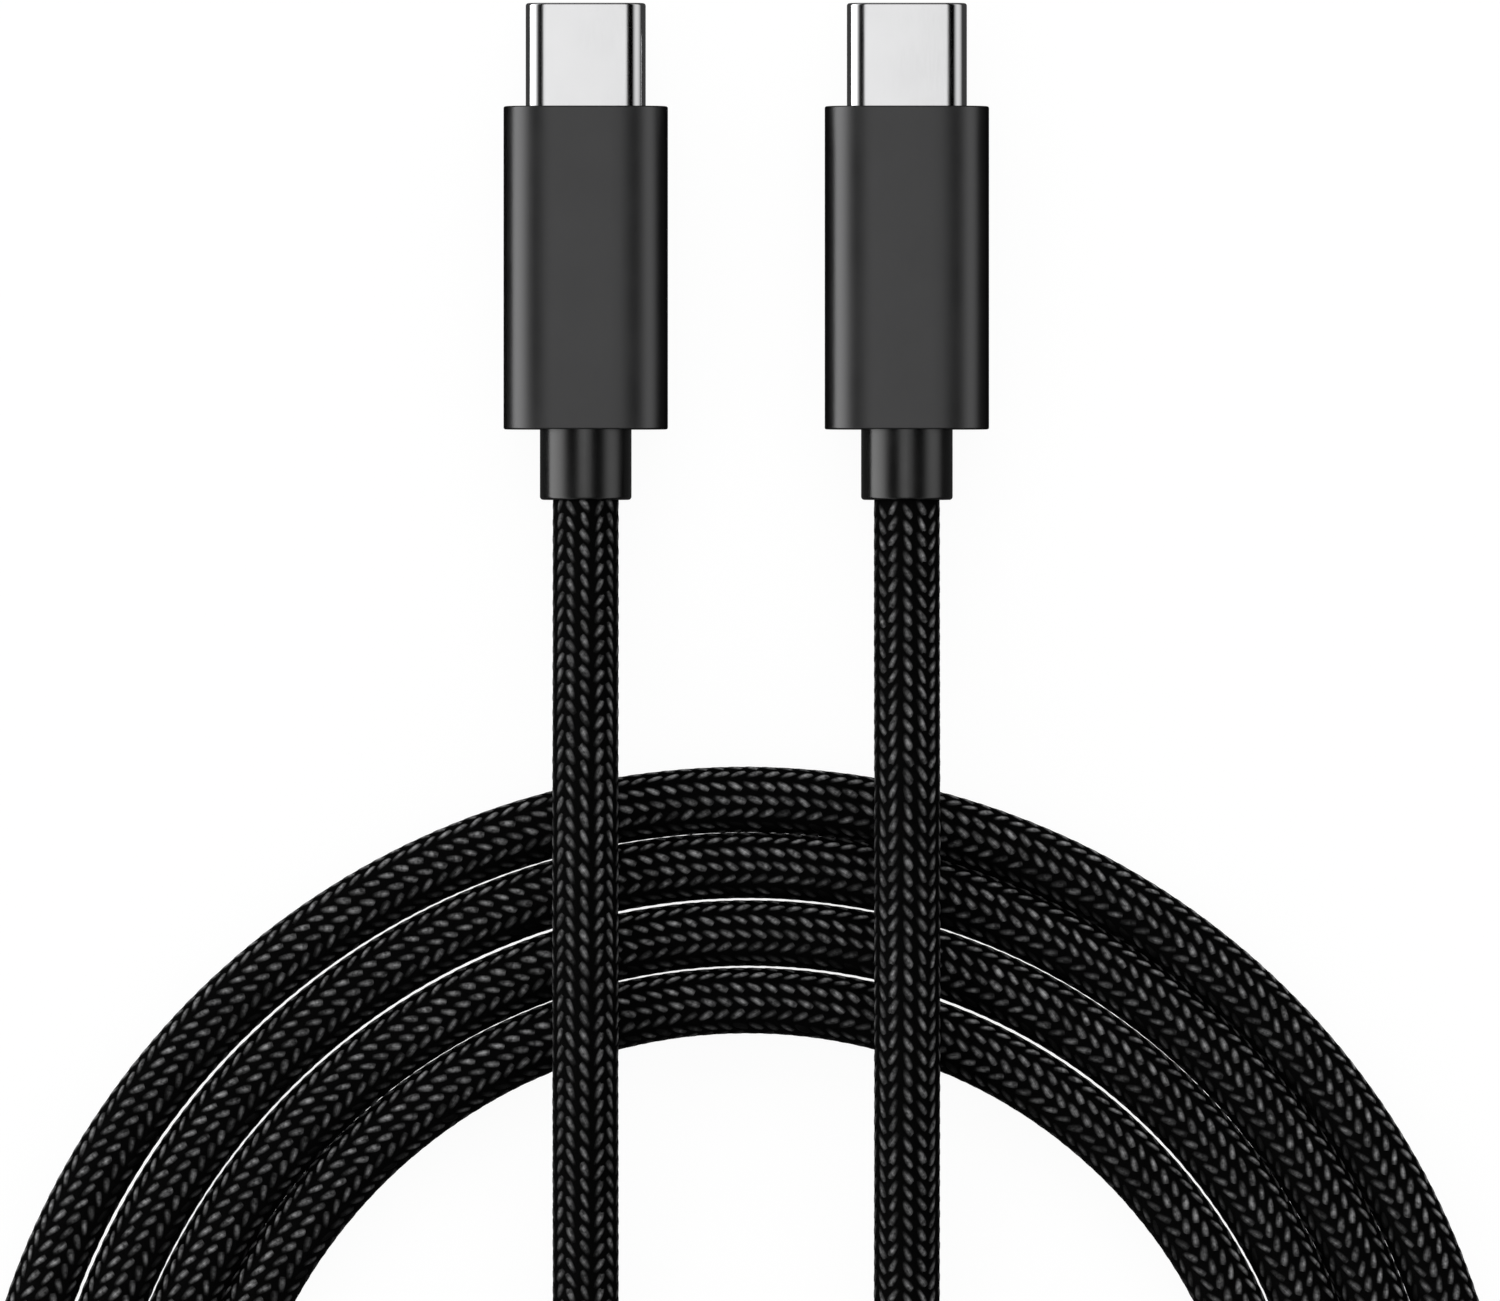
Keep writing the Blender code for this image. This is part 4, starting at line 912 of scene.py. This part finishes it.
@dataclass(frozen=True)
class CordRoute:
    """The line that the cord's middle follows, from the left plug through the coil to the right one.

    The leads' points are in millimetres: across from between the plugs, up from the coil's centre, and
    lifted from where the cord rests on the floor. The coil's turns are counted from its lowest place in
    the picture, on its inside.
    """

    exit_y: float
    exit_z: float
    radius: float = 2.275 * MM
    straight: float = 4.06 * MM
    plug_x: float = 11.04 * MM
    turns: int = 4
    points_a_turn: int = 24
    first_point: int = 3
    last_point: int = 3
    inner_radius: float = 34.96 * MM
    pitch: float = 4.64 * MM
    lean: float = 0.09 * MM
    distance: float = 71.83 * MM
    turn_in: float = 2.90 * MM
    turn_in_span: float = 0.20
    sway: float = 0.10 * MM
    sways_a_turn: float = 1.8
    sway_start: float = 5.10
    smooth_over: float = 2.0 * MM
    step: float = 0.5 * MM
    curve_steps: int = 24
    left: tuple[Triple, ...] = (
        (-11.04, 64.7, 1.18), (-11.04, 61.4, 1.74), (-11.04, 58.0, 2.76), (-11.04, 54.6, 3.79),
        (-11.04, 51.2, 4.47), (-11.04, 47.8, 4.65), (-11.04, 43.0, 4.65), (-11.04, 38.1, 4.65),
        (-11.04, 33.3, 4.39), (-11.04, 28.4, 3.48), (-11.04, 23.6, 2.18), (-11.04, 18.8, 1.02),
        (-11.04, 13.9, 0.29), (-11.04, 8.7, 0.00), (-11.04, 1.9, 0.00), (-11.04, -4.4, 0.00),
        (-11.04, -9.7, 0.00), (-10.61, -16.5, 0.00), (-8.24, -22.1, 0.00), (-4.09, -26.5, 0.00),
        (1.31, -29.3, 0.00), (6.11, -30.1, 0.00), (11.30, -29.5, 0.00),
    )
    right: tuple[Triple, ...] = (
        (11.04, 64.7, 1.18), (11.04, 61.4, 1.74), (11.04, 58.0, 2.76), (11.04, 54.6, 3.79),
        (11.04, 51.2, 4.47), (11.04, 47.8, 4.65), (11.04, 43.0, 4.65), (11.04, 38.1, 4.65),
        (11.04, 33.3, 4.39), (11.04, 28.4, 3.48), (11.04, 23.6, 2.18), (11.04, 18.8, 1.02),
        (11.04, 13.9, 0.29), (11.04, 8.7, 0.00), (11.04, 2.9, 0.00), (11.04, -3.4, 0.15),
        (11.04, -10.2, 1.06), (11.04, -16.9, 2.66), (11.04, -23.7, 4.07), (11.04, -30.5, 4.61),
        (9.49, -38.5, 4.63), (5.03, -45.4, 4.65), (-1.74, -50.1, 4.53), (-10.30, -51.8, 3.05),
        (-18.10, -50.1, 1.36), (-25.60, -46.4, 0.29),
    )

    @property
    def centre_y(self) -> float:
        """The coil's centre."""
        return self.exit_y - self.distance

    def coil_point(self, turns: float) -> Vector:
        """A place on the cord's middle in the coil.

        Args:
            turns: how many turns round the coil it is.

        Returns:
            The place.
        """
        angle = math.tau * turns
        turn_in = max(0.0, 1 - (turns - self.first_point / self.points_a_turn) / self.turn_in_span)
        radius = self.inner_radius + self.pitch * (turns + math.sin(angle) / math.tau)
        radius -= self.turn_in * turn_in ** 2
        radius += self.sway * math.sin(self.sways_a_turn * angle + self.sway_start)
        lean = self.lean * (self.turns - 0.5 - turns)
        y = self.centre_y + lean - radius * math.cos(angle)
        return Vector((radius * math.sin(angle), y, self.radius))

    def lead_points(self, side: Side) -> list[Vector]:
        """The points of one lead.

        Args:
            side: the plug that it leaves.

        Returns:
            The points, out of the plug and along the lead's way to the coil.
        """
        x = -self.plug_x if side is Side.LEFT else self.plug_x
        points = [Vector((x, y, self.exit_z)) for y in (self.exit_y, self.exit_y - self.straight)]
        for across, up, lift in self.left if side is Side.LEFT else self.right:
            points.append(Vector((across * MM, self.centre_y + up * MM, self.radius + lift * MM)))
        return points

    def centreline(self) -> list[Vector]:
        """The whole line as closely spaced points.

        Returns:
            Points a step apart, from the left plug's relief to the right one's.
        """
        first = self.first_point
        last = self.turns * self.points_a_turn - self.last_point
        coil = [self.coil_point(number / self.points_a_turn) for number in range(first, last + 1)]
        small = 0.01 / self.points_a_turn
        inwards = (self.coil_point(first / self.points_a_turn + small) - coil[0]).normalized()
        outwards = (coil[-1] - self.coil_point(last / self.points_a_turn - small)).normalized()
        start = coil[0] - inwards * self.straight
        end = coil[-1] + outwards * self.straight
        route = self.lead_points(Side.LEFT) + [start, *coil, end] + self.lead_points(Side.RIGHT)[::-1]
        route = [2 * route[0] - route[1], *route, 2 * route[-1] - route[-2]]
        return self.smoothed(self.spaced(self.curve(route)))

    def coil_span(self, line: list[Vector]) -> tuple[float, float]:
        """How far along the line the coil starts and ends.

        Args:
            line: the whole line.

        Returns:
            Both distances.
        """
        along = distances(line)
        ends = (self.first_point / self.points_a_turn, self.turns - self.last_point / self.points_a_turn)
        start, end = (
            along[min(range(len(line)), key=lambda number: (line[number] - mark).length)]
            for mark in map(self.coil_point, ends)
        )
        return start, end

    def curve(self, route: list[Vector]) -> list[Vector]:
        """Points along a smooth curve through the route.

        Args:
            route: the points to go through, with one more at each end that only gives the direction.

        Returns:
            The curve's points.
        """
        points = []
        for four in zip(route, route[1:], route[2:], route[3:]):
            knots = [0.0]
            for near, far in zip(four, four[1:]):
                knots.append(knots[-1] + math.sqrt((far - near).length))
            for number in range(self.curve_steps):
                t = knots[1] + (knots[2] - knots[1]) * number / self.curve_steps
                points.append(self.blend(four, knots, t))
        return points + [route[-2]]

    @staticmethod
    def blend(four: tuple[Vector, ...], knots: list[float], t: float) -> Vector:
        """A point between the second and the third of four points, on the curve through them all.

        Args:
            four: the points.
            knots: the curve's parameter at each of them.
            t: its parameter at the wanted point.

        Returns:
            The point.
        """
        level = list(four)
        for span in (1, 2):
            level = [
                near.lerp(far, (t - knots[first]) / (knots[first + span] - knots[first]))
                for first, (near, far) in enumerate(zip(level, level[1:]))
            ]
        return level[0].lerp(level[1], (t - knots[1]) / (knots[2] - knots[1]))

    def spaced(self, points: list[Vector]) -> list[Vector]:
        """The same line with its points about a step apart.

        Args:
            points: the line.

        Returns:
            Its new points, evenly spaced.
        """
        along = distances(points)
        count = max(1, round(along[-1] / self.step))
        result = []
        index = 0
        for number in range(count + 1):
            target = along[-1] * number / count
            while index < len(points) - 2 and along[index + 1] < target:
                index += 1
            part = (target - along[index]) / (along[index + 1] - along[index])
            result.append(points[index].lerp(points[index + 1], part))
        return result

    def smoothed(self, points: list[Vector]) -> list[Vector]:
        """The line with its bends evened out over a short distance, its ends kept.

        Args:
            points: the line.

        Returns:
            Its points, as many as before.
        """
        for _ in range(round(2 * (self.smooth_over / self.step) ** 2)):
            threes = zip(points, points[1:], points[2:])
            inner = [(near + 2 * point + far) / 4 for near, point, far in threes]
            points = [points[0], *inner, points[-1]]
        return points


class BraidTree(GeometryTree):
    """The tree that weaves the braid flat, X round the cord and Y along it, and wraps it round a path.

    Its columns slant to and fro, save for two alike on top and two alike underneath, at the seam. In the
    coil every column slants the other way, as the photo shows.
    """

    STITCH_GRID = (5, 6)
    CROWN_POWER = 0.6          # below 1, the stitch's crown is flatter than a parabola
    END_POWER = 2.6            # how late its ends come down and narrow
    TAPER = 0.35               # how much narrower its ends are
    LEAN = 0.25                # how much narrower still its far end is, and how much wider its near one
    FIRST_ROW = 0.3            # how far along the path the first row lies, in rows
    SEAM = 0.53                # the share of the columns at which the seam lies
    STRAYS = (-0.15, 0.15)     # how far stitches are turned out of line
    SIZES = (0.80, 1.08)       # how wide and high they are
    TONES = (0.35, 0.8)        # how bright the painted highlights on their crowns are, at random

    def __init__(self, values: dict[str, object]) -> None:
        """Build the whole tree."""
        super().__init__("braid_tree", values)
        self.finish(self.wrap(self.weave()))

    def stitch(self) -> Socket:
        """One stitch: a crowned strip, widest between its middle and its near end, with its own UV map.

        Returns:
            The stitch, lying along Y with its height along Z.
        """
        strip = self.grid((2.0, 2.0), self.STITCH_GRID)
        mapped = self.stored(strip.outputs["Mesh"], "UVMap", strip.outputs["UV Map"], "FLOAT2", "CORNER")
        across, along, _ = self.position()
        crown = self.calculate("POWER", self.minus(1.0, self.product(across, across)), self.CROWN_POWER)
        ends = self.calculate("POWER", self.calculate("ABSOLUTE", along), self.END_POWER)
        raised = self.product(crown, self.minus(1.0, ends), self.inputs["Height"])
        taper = self.minus(1.0, self.product(ends, self.TAPER))
        lean = self.minus(1.0, self.product(along, self.LEAN))
        x = self.product(across, self.product(taper, lean), self.product(self.inputs["Width"], 0.5))
        y = self.product(along, self.product(self.inputs["Length"], 0.5))
        return self.moved(mapped, self.combined(x, y, self.minus(raised, self.inputs["Sink"])))

    def spots(self) -> Socket:
        """The stitches' places on the flat braid, every other column staggered.

        Returns:
            One point for each stitch, with the number of its column.
        """
        columns, rows, pitch = (self.inputs[name] for name in ("Columns", "Rows", "Pitch"))
        width = self.inputs["Column Width"]
        size_x = self.product(self.minus(columns, 1.0), width)
        size_y = self.product(self.minus(rows, 1.0), pitch)
        grid = self.grid((size_x, size_y), (columns, rows)).outputs["Mesh"]
        x, y, _ = self.position()
        x = self.total(x, self.product(size_x, 0.5))
        numbered = self.stored(grid, "column", self.calculate("ROUND", self.calculate("DIVIDE", x, width)))
        odd = self.calculate("MODULO", self.read("column"), 2.0)
        stagger = self.product(odd, self.inputs["Stagger"])
        y = self.total(y, self.product(size_y, 0.5), stagger, self.product(pitch, self.FIRST_ROW))
        return self.moved(numbered, self.combined(x, y, 0.0))

    def wound(self) -> Socket:
        """1 where a place on the flat braid is in the coil, and 0 on the leads."""
        along = self.total(self.position()[1], self.inputs["Start"])
        after = self.calculate("GREATER_THAN", along, self.inputs["Coil Start"])
        return self.product(after, self.calculate("LESS_THAN", along, self.inputs["Coil End"]))

    def handed(self) -> Socket:
        """Which way the stitches of each column slant.

        Returns:
            1 for one way and -1 for the other.
        """
        column = self.read("column")
        over_seam = self.calculate("GREATER_THAN", column, self.product(self.inputs["Columns"], self.SEAM))
        on_top = self.calculate("LESS_THAN", column, 0.5)
        turned = self.total(column, over_seam, on_top)
        handed = self.minus(self.product(self.calculate("MODULO", turned, 2.0), 2.0), 1.0)
        return self.product(handed, self.minus(1.0, self.product(self.wound(), 2.0)))

    def tone(self) -> Socket:
        """How bright each stitch's painted highlight is: random, and in the coil brighter on the side of the
        cord that faces out of the coil than on the side that faces in, as painted light and shade.

        Returns:
            The tone.
        """
        turned = self.product(self.read("column"), math.tau)
        angle = self.total(self.calculate("DIVIDE", turned, self.inputs["Columns"]), self.inputs["Phase"])
        # painted light on the side of the cord that faces out of the coil, and painted shade on the side that
        # faces in
        rubbed = self.product(self.calculate("SINE", angle), self.wound(), self.inputs["Rubbed"])
        return self.total(self.random(self.TONES, Draw.TONE), rubbed)

    def random(self, limits: tuple[float, float], draw: Draw) -> Socket:
        """A random number between two limits for each point."""
        inputs = {2: limits[0], 3: limits[1], "Seed": self.total(self.inputs["Seed"], float(draw.value))}
        return self.add("FunctionNodeRandomValue", inputs, data_type="FLOAT").outputs[1]

    def weave(self) -> Socket:
        """The braid laid out flat.

        Returns:
            The stitches in their places.
        """
        toned = self.stored(self.spots(), "tone", self.tone())
        slant = self.product(self.handed(), self.inputs["Slant"])
        turn = self.total(slant, self.random(self.STRAYS, Draw.TURN))
        size = self.random(self.SIZES, Draw.SIZE)
        laid = self.add("GeometryNodeInstanceOnPoints", {
            "Points": toned,
            "Instance": self.stitch(),
            "Rotation": self.combined(0.0, 0.0, turn),
            "Scale": self.combined(size, 1.0, size),
        })
        return self.add("GeometryNodeRealizeInstances", {"Geometry": laid.outputs[0]}).outputs[0]

    def wrap(self, flat: Socket) -> Socket:
        """The flat braid wrapped round the path.

        Args:
            flat: the flat braid.

        Returns:
            The braid on the cord.
        """
        x, y, height = self.position()
        girth = self.product(self.inputs["Columns"], self.inputs["Column Width"])
        turned = self.product(self.calculate("DIVIDE", x, girth), math.tau)
        angle = self.total(turned, self.inputs["Phase"])
        where = {"Curves": self.path(), "Length": self.total(y, self.inputs["Start"])}
        sample = self.add("GeometryNodeSampleCurve", where, mode="LENGTH", use_all_curves=True)
        middle, heading = sample.outputs["Position"], sample.outputs["Tangent"]
        beside = self.vector("NORMALIZE", self.vector("CROSS_PRODUCT", heading, UP))
        above = self.vector("CROSS_PRODUCT", beside, heading)
        radius = self.total(self.inputs["Radius"], height)
        up = self.scaled(above, self.product(radius, self.calculate("COSINE", angle)))
        over = self.scaled(beside, self.product(radius, self.calculate("SINE", angle)))
        return self.moved(flat, self.vector("ADD", middle, self.vector("ADD", up, over)))


@dataclass
class BraidedCord:
    """The cord: a black core with a woven braid of fourteen columns of stitches."""

    finishes: Finishes
    diameter: float = 4.62 * MM
    core_radius: float = 2.25 * MM
    core_step: float = 1.2 * MM
    core_sides: int = 18
    columns: int = 14
    pitch: float = 1.114 * MM
    stagger: float = 0.22
    slant: float = math.radians(28)
    phase: float = math.radians(0.8)
    stitch_width: float = 0.58 * MM
    stitch_length: float = 1.20 * MM
    sink: float = 0.02 * MM
    # how much the side of the cord facing out of the coil is painted lighter, and the side facing in painted
    # darker
    rubbed: float = 0.5
    rows_a_piece: int = 330
    seed: int = 11
    seeds_a_piece: int = 10

    def build(self) -> None:
        exit_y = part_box("left_strain_relief")[0].y
        low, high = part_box("left_housing")
        route = CordRoute(exit_y, (low.z + high.z) / 2)
        line = route.centreline()
        length = distances(line)[-1]
        path = self.path_curve(line)
        core = self.sweep_core(path)
        braid = self.lay_braid(path, length, route.coil_span(line))
        bpy.data.objects.remove(path)
        for piece in [core, *braid]:
            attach(piece, ROOT_BODY)
        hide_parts("cord_coil", "cord_lead_left", "cord_lead_right")
        log.info("cord: %.0f mm in %d points", length / MM, len(line))

    def path_curve(self, line: list[Vector]) -> bpy.types.Object:
        """A curve that the trees read, and that is removed after them.

        Args:
            line: the cord's line.

        Returns:
            The curve's object.
        """
        curve = bpy.data.curves.new("cord_path", "CURVE")
        curve.dimensions = "3D"
        curve.twist_mode = "Z_UP"
        spline = curve.splines.new("POLY")
        spline.points.add(len(line) - 1)
        for place, point in zip(spline.points, line):
            place.co = (*point, 1.0)
        return link_object("cord_path", curve)

    def sweep_core(self, path: bpy.types.Object) -> bpy.types.Object:
        """Sweep the core's round section along the path.

        Args:
            path: the cord's line.

        Returns:
            The core.
        """
        values = {"Path": path, "Radius": self.core_radius, "Finish": self.finishes.braid_ground.build()}
        tree = GeometryTree("cord_core_tree", values)
        coarse = {"Curve": tree.path(), "Length": self.core_step}
        circle = {"Resolution": self.core_sides, "Radius": tree.inputs["Radius"]}
        swept = tree.add("GeometryNodeCurveToMesh", {
            "Curve": tree.add("GeometryNodeResampleCurve", coarse, mode="LENGTH").outputs[0],
            "Profile Curve": tree.add("GeometryNodeCurvePrimitiveCircle", circle).outputs[0],
            "Fill Caps": True,
        })
        tree.finish(swept.outputs[0])
        return tree.run("cord_core")

    def lay_braid(
        self, path: bpy.types.Object, length: float, coil: tuple[float, float]
    ) -> list[bpy.types.Object]:
        """Lay the braid along the whole path, in pieces of a limited number of rows.

        Args:
            path: the cord's line.
            length: its length.
            coil: how far along it the coil starts and ends.

        Returns:
            The pieces.
        """
        rows = int(length / self.pitch)
        pitch = length / rows
        tree = BraidTree({
            "Path": path,
            "Start": 0.0,
            "Rows": 0,
            "Columns": self.columns,
            "Pitch": pitch,
            "Stagger": self.stagger * pitch,
            "Column Width": math.tau * self.core_radius / self.columns,
            "Slant": self.slant,
            "Phase": self.phase,
            "Radius": self.core_radius,
            "Width": self.stitch_width,
            "Length": self.stitch_length,
            "Height": self.diameter / 2 - self.core_radius + self.sink,
            "Sink": self.sink,
            "Coil Start": coil[0],
            "Coil End": coil[1],
            "Rubbed": self.rubbed,
            "Seed": self.seed,
            "Finish": self.finishes.braid_thread.build(),
        })
        count = math.ceil(rows / self.rows_a_piece)
        pieces = []
        for number in range(count):
            first, end = (rows * place // count for place in (number, number + 1))
            seed = self.seed + self.seeds_a_piece * number
            pieces.append(tree.run(f"braid_{number + 1}", Start=first * pitch, Rows=end - first, Seed=seed))
        return pieces


# ---------------------------------------------------------------- the studio


@dataclass(frozen=True)
class Softbox:
    """A rectangular area lamp, which lights matt surfaces; what metal mirrors is the studio's own."""

    name: str
    place: Triple
    width: float
    height: float
    radiance: float
    target: Triple = (0.0, -0.04, 0.0)

    def build(self) -> None:
        """Add the lamp, aimed at its target."""
        lamp = bpy.data.lights.new(self.name, "AREA")
        lamp.shape = "RECTANGLE"
        lamp.size = self.width
        lamp.size_y = self.height
        lamp.energy = self.radiance * math.pi * self.width * self.height
        thing = link_object(self.name, lamp)
        heading = Vector(self.target) - Vector(self.place)
        turn = heading.to_track_quat("-Z", "Y").to_matrix().to_4x4()
        thing.matrix_world = Matrix.Translation(self.place) @ turn
        thing.visible_camera = False
        thing.visible_glossy = False


@dataclass(frozen=True)
class Studio:
    """A pale floor, soft lamps, a surround of dark and pale screens, and the camera straight above.

    The screens are long ones that run along Y, each at an angle to the left (below 0) or right (above 0)
    of straight up, in degrees, and with its level. Metal mirrors them. They fade to the share called faded
    where the direction's Y part goes from the first to the second value of fade. In what the camera sees of
    the floor, floor_shown is the share of its own glow, and the rest is lit grey.
    """

    exit_y: float
    plane_z: float
    scale: float = 0.06875 * MM
    picture: tuple[int, int] = (1500, 1301)
    zero_column: float = 746.3
    exit_row: float = 499.9
    sensor: float = 36.0
    lens: float = 600.0
    floor_half: float = 3.0
    floor_drop: float = 0.02 * MM
    floor_grey: float = 0.62
    floor_roughness: float = 0.9
    floor_bounce: float = 0.07
    floor_glow: float = 1.10
    floor_shown: float = 0.86
    soft_light: float = 0.35
    fade: tuple[float, float] = (0.55, 0.80)
    faded: float = 0.3
    lamps: tuple[Softbox, ...] = (
        Softbox("left_lamp", (-0.75, 0.00, 0.55), 0.9, 0.5, 0.8),
        Softbox("right_lamp", (0.75, 0.00, 0.55), 0.9, 0.5, 0.45),
        Softbox("far_lamp", (0.0, 0.75, 0.60), 1.2, 0.5, 1.5),
        Softbox("overhead", (0.0, -0.03, 1.30), 0.5, 0.8, 1.1),
    )
    screens: tuple[tuple[float, float], ...] = (
        (-90, 3.27), (-84, 3.02), (-78, 2.91), (-70, 2.84), (-62, 2.56), (-54, 2.26), (-46, 1.79),
        (-38, 0.71), (-30, 0.05), (-18, 0.00), (-12, 0.16), (-7, 1.25), (-3, 1.45), (3, 1.35), (7, 0.20),
        (12, 0.00), (28, 0.00), (36, 0.62), (46, 1.13), (58, 1.10), (70, 0.81), (80, 0.29), (90, 0.02),
    )

    def build(self) -> None:
        """Make the camera, the floor, the lamps and the world."""
        self.add_camera()
        self.add_floor()
        for lamp in self.lamps:
            lamp.build()
        self.add_world()

    def add_camera(self) -> None:
        """A camera above the middle of the picture, looking straight down."""
        camera = bpy.data.cameras.new("camera")
        camera.sensor_fit = "HORIZONTAL"
        camera.sensor_width = self.sensor
        camera.lens = self.lens
        camera.clip_start = 0.01
        camera.clip_end = 20.0
        thing = link_object("camera", camera)
        x = (self.picture[0] / 2 - self.zero_column) * self.scale
        y = self.exit_y - (self.picture[1] / 2 - self.exit_row) * self.scale
        distance = self.picture[0] * self.scale * self.lens / self.sensor
        thing.location = (x, y, self.plane_z + distance)
        bpy.context.scene.camera = thing

    def add_floor(self) -> None:
        """A wide pale floor, white to the camera, which keeps a faint shadow."""
        shape = bmesh.new()
        bmesh.ops.create_grid(shape, x_segments=1, y_segments=1, size=self.floor_half)
        bmesh.ops.translate(shape, verts=shape.verts, vec=(0.0, 0.0, -self.floor_drop))
        mesh = bpy.data.meshes.new("floor")
        shape.to_mesh(mesh)
        shape.free()
        mesh.materials.append(self.floor_material())
        link_object("floor", mesh)

    def floor_material(self) -> bpy.types.Material:
        """Matt grey, and a glow for the camera and for what mirrors the floor.

        Returns:
            The floor's material.
        """
        tree = ShaderTree("pale_floor")
        grey = (self.floor_grey,) * 3
        tree.plain(Base_Color=grey, Roughness=self.floor_roughness, Specular_IOR_Level=0.0)
        rays = tree.add("ShaderNodeLightPath").outputs
        mirrored = tree.calculate("MAXIMUM", rays["Is Glossy Ray"], rays["Is Transmission Ray"])
        bounce = tree.product(mirrored, self.floor_bounce)
        strength = tree.calculate("MAXIMUM", tree.product(rays["Is Camera Ray"], self.floor_glow), bounce)
        glow = tree.add("ShaderNodeEmission", {"Color": WHITE, "Strength": strength}).outputs[0]
        share = tree.calculate("MAXIMUM", tree.product(rays["Is Camera Ray"], self.floor_shown), mirrored)
        output = next(node for node in tree.tree.nodes if node.type == "OUTPUT_MATERIAL")
        tree.tree.links.new(tree.mixed(share, tree.surface.outputs[0], glow), output.inputs["Surface"])
        return tree.material

    def add_world(self) -> None:
        """White to the camera, soft light on matt surfaces, and the screens in bright metal."""
        world = bpy.data.worlds.new("studio")
        bpy.context.scene.world = world
        world.use_nodes = True
        world.node_tree.nodes.clear()
        tree = TreeBuilder(world.node_tree)
        rays = tree.add("ShaderNodeLightPath").outputs
        shiny = tree.calculate("MAXIMUM", rays["Is Glossy Ray"], rays["Is Transmission Ray"])
        light = tree.tint(shiny, (self.soft_light,) * 3, self.add_screens(tree))
        lit = tree.add("ShaderNodeBackground", {"Color": light}).outputs[0]
        backdrop = tree.add("ShaderNodeBackground", {"Color": WHITE}).outputs[0]
        tree.add("ShaderNodeOutputWorld", {0: tree.mixed(rays["Is Camera Ray"], lit, backdrop)})

    def add_screens(self, tree: TreeBuilder) -> Socket:
        """The screens as a ramp over the angle from straight up, fading towards both ends of Y.

        Args:
            tree: the world's nodes.

        Returns:
            Their light in each direction.
        """
        x, y, height = tree.parts(tree.add("ShaderNodeTexCoord").outputs["Generated"])
        angle = tree.calculate("ARCTAN2", x, height)
        share = tree.ranged(angle, 0.0, 1.0, -math.pi / 2, math.pi / 2)
        bands = tree.add("ShaderNodeValToRGB", {"Fac": share})
        ramp = bands.color_ramp.elements
        while len(ramp) < len(self.screens):
            ramp.new(1.0)
        highest = max(level for _, level in self.screens)
        for stop, (degrees, level) in zip(ramp, self.screens):
            stop.position = (degrees + 90.0) / 180.0
            stop.color = (*(level / highest,) * 3, 1.0)
        ends = tree.ranged(tree.calculate("ABSOLUTE", y), highest, self.faded * highest, *self.fade)
        inputs = {0: bands.outputs[0], "Scale": ends}
        return tree.add("ShaderNodeVectorMath", inputs, operation="SCALE").outputs[0]


# ---------------------------------------------------------------- the cable


def main() -> None:
    """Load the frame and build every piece."""
    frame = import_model()
    bpy.context.scene.view_settings.view_transform = "Standard"
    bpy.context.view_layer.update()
    low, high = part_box("left_housing")
    Studio(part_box("left_strain_relief")[0].y, (low.z + high.z) / 2).build()
    finishes = Finishes()
    BraidedCord(finishes).build()
    for side in Side:
        plug = Plug(side, finishes)
        plug.build()
        plug.dress(frame)


if __name__ == "__main__":
    main()
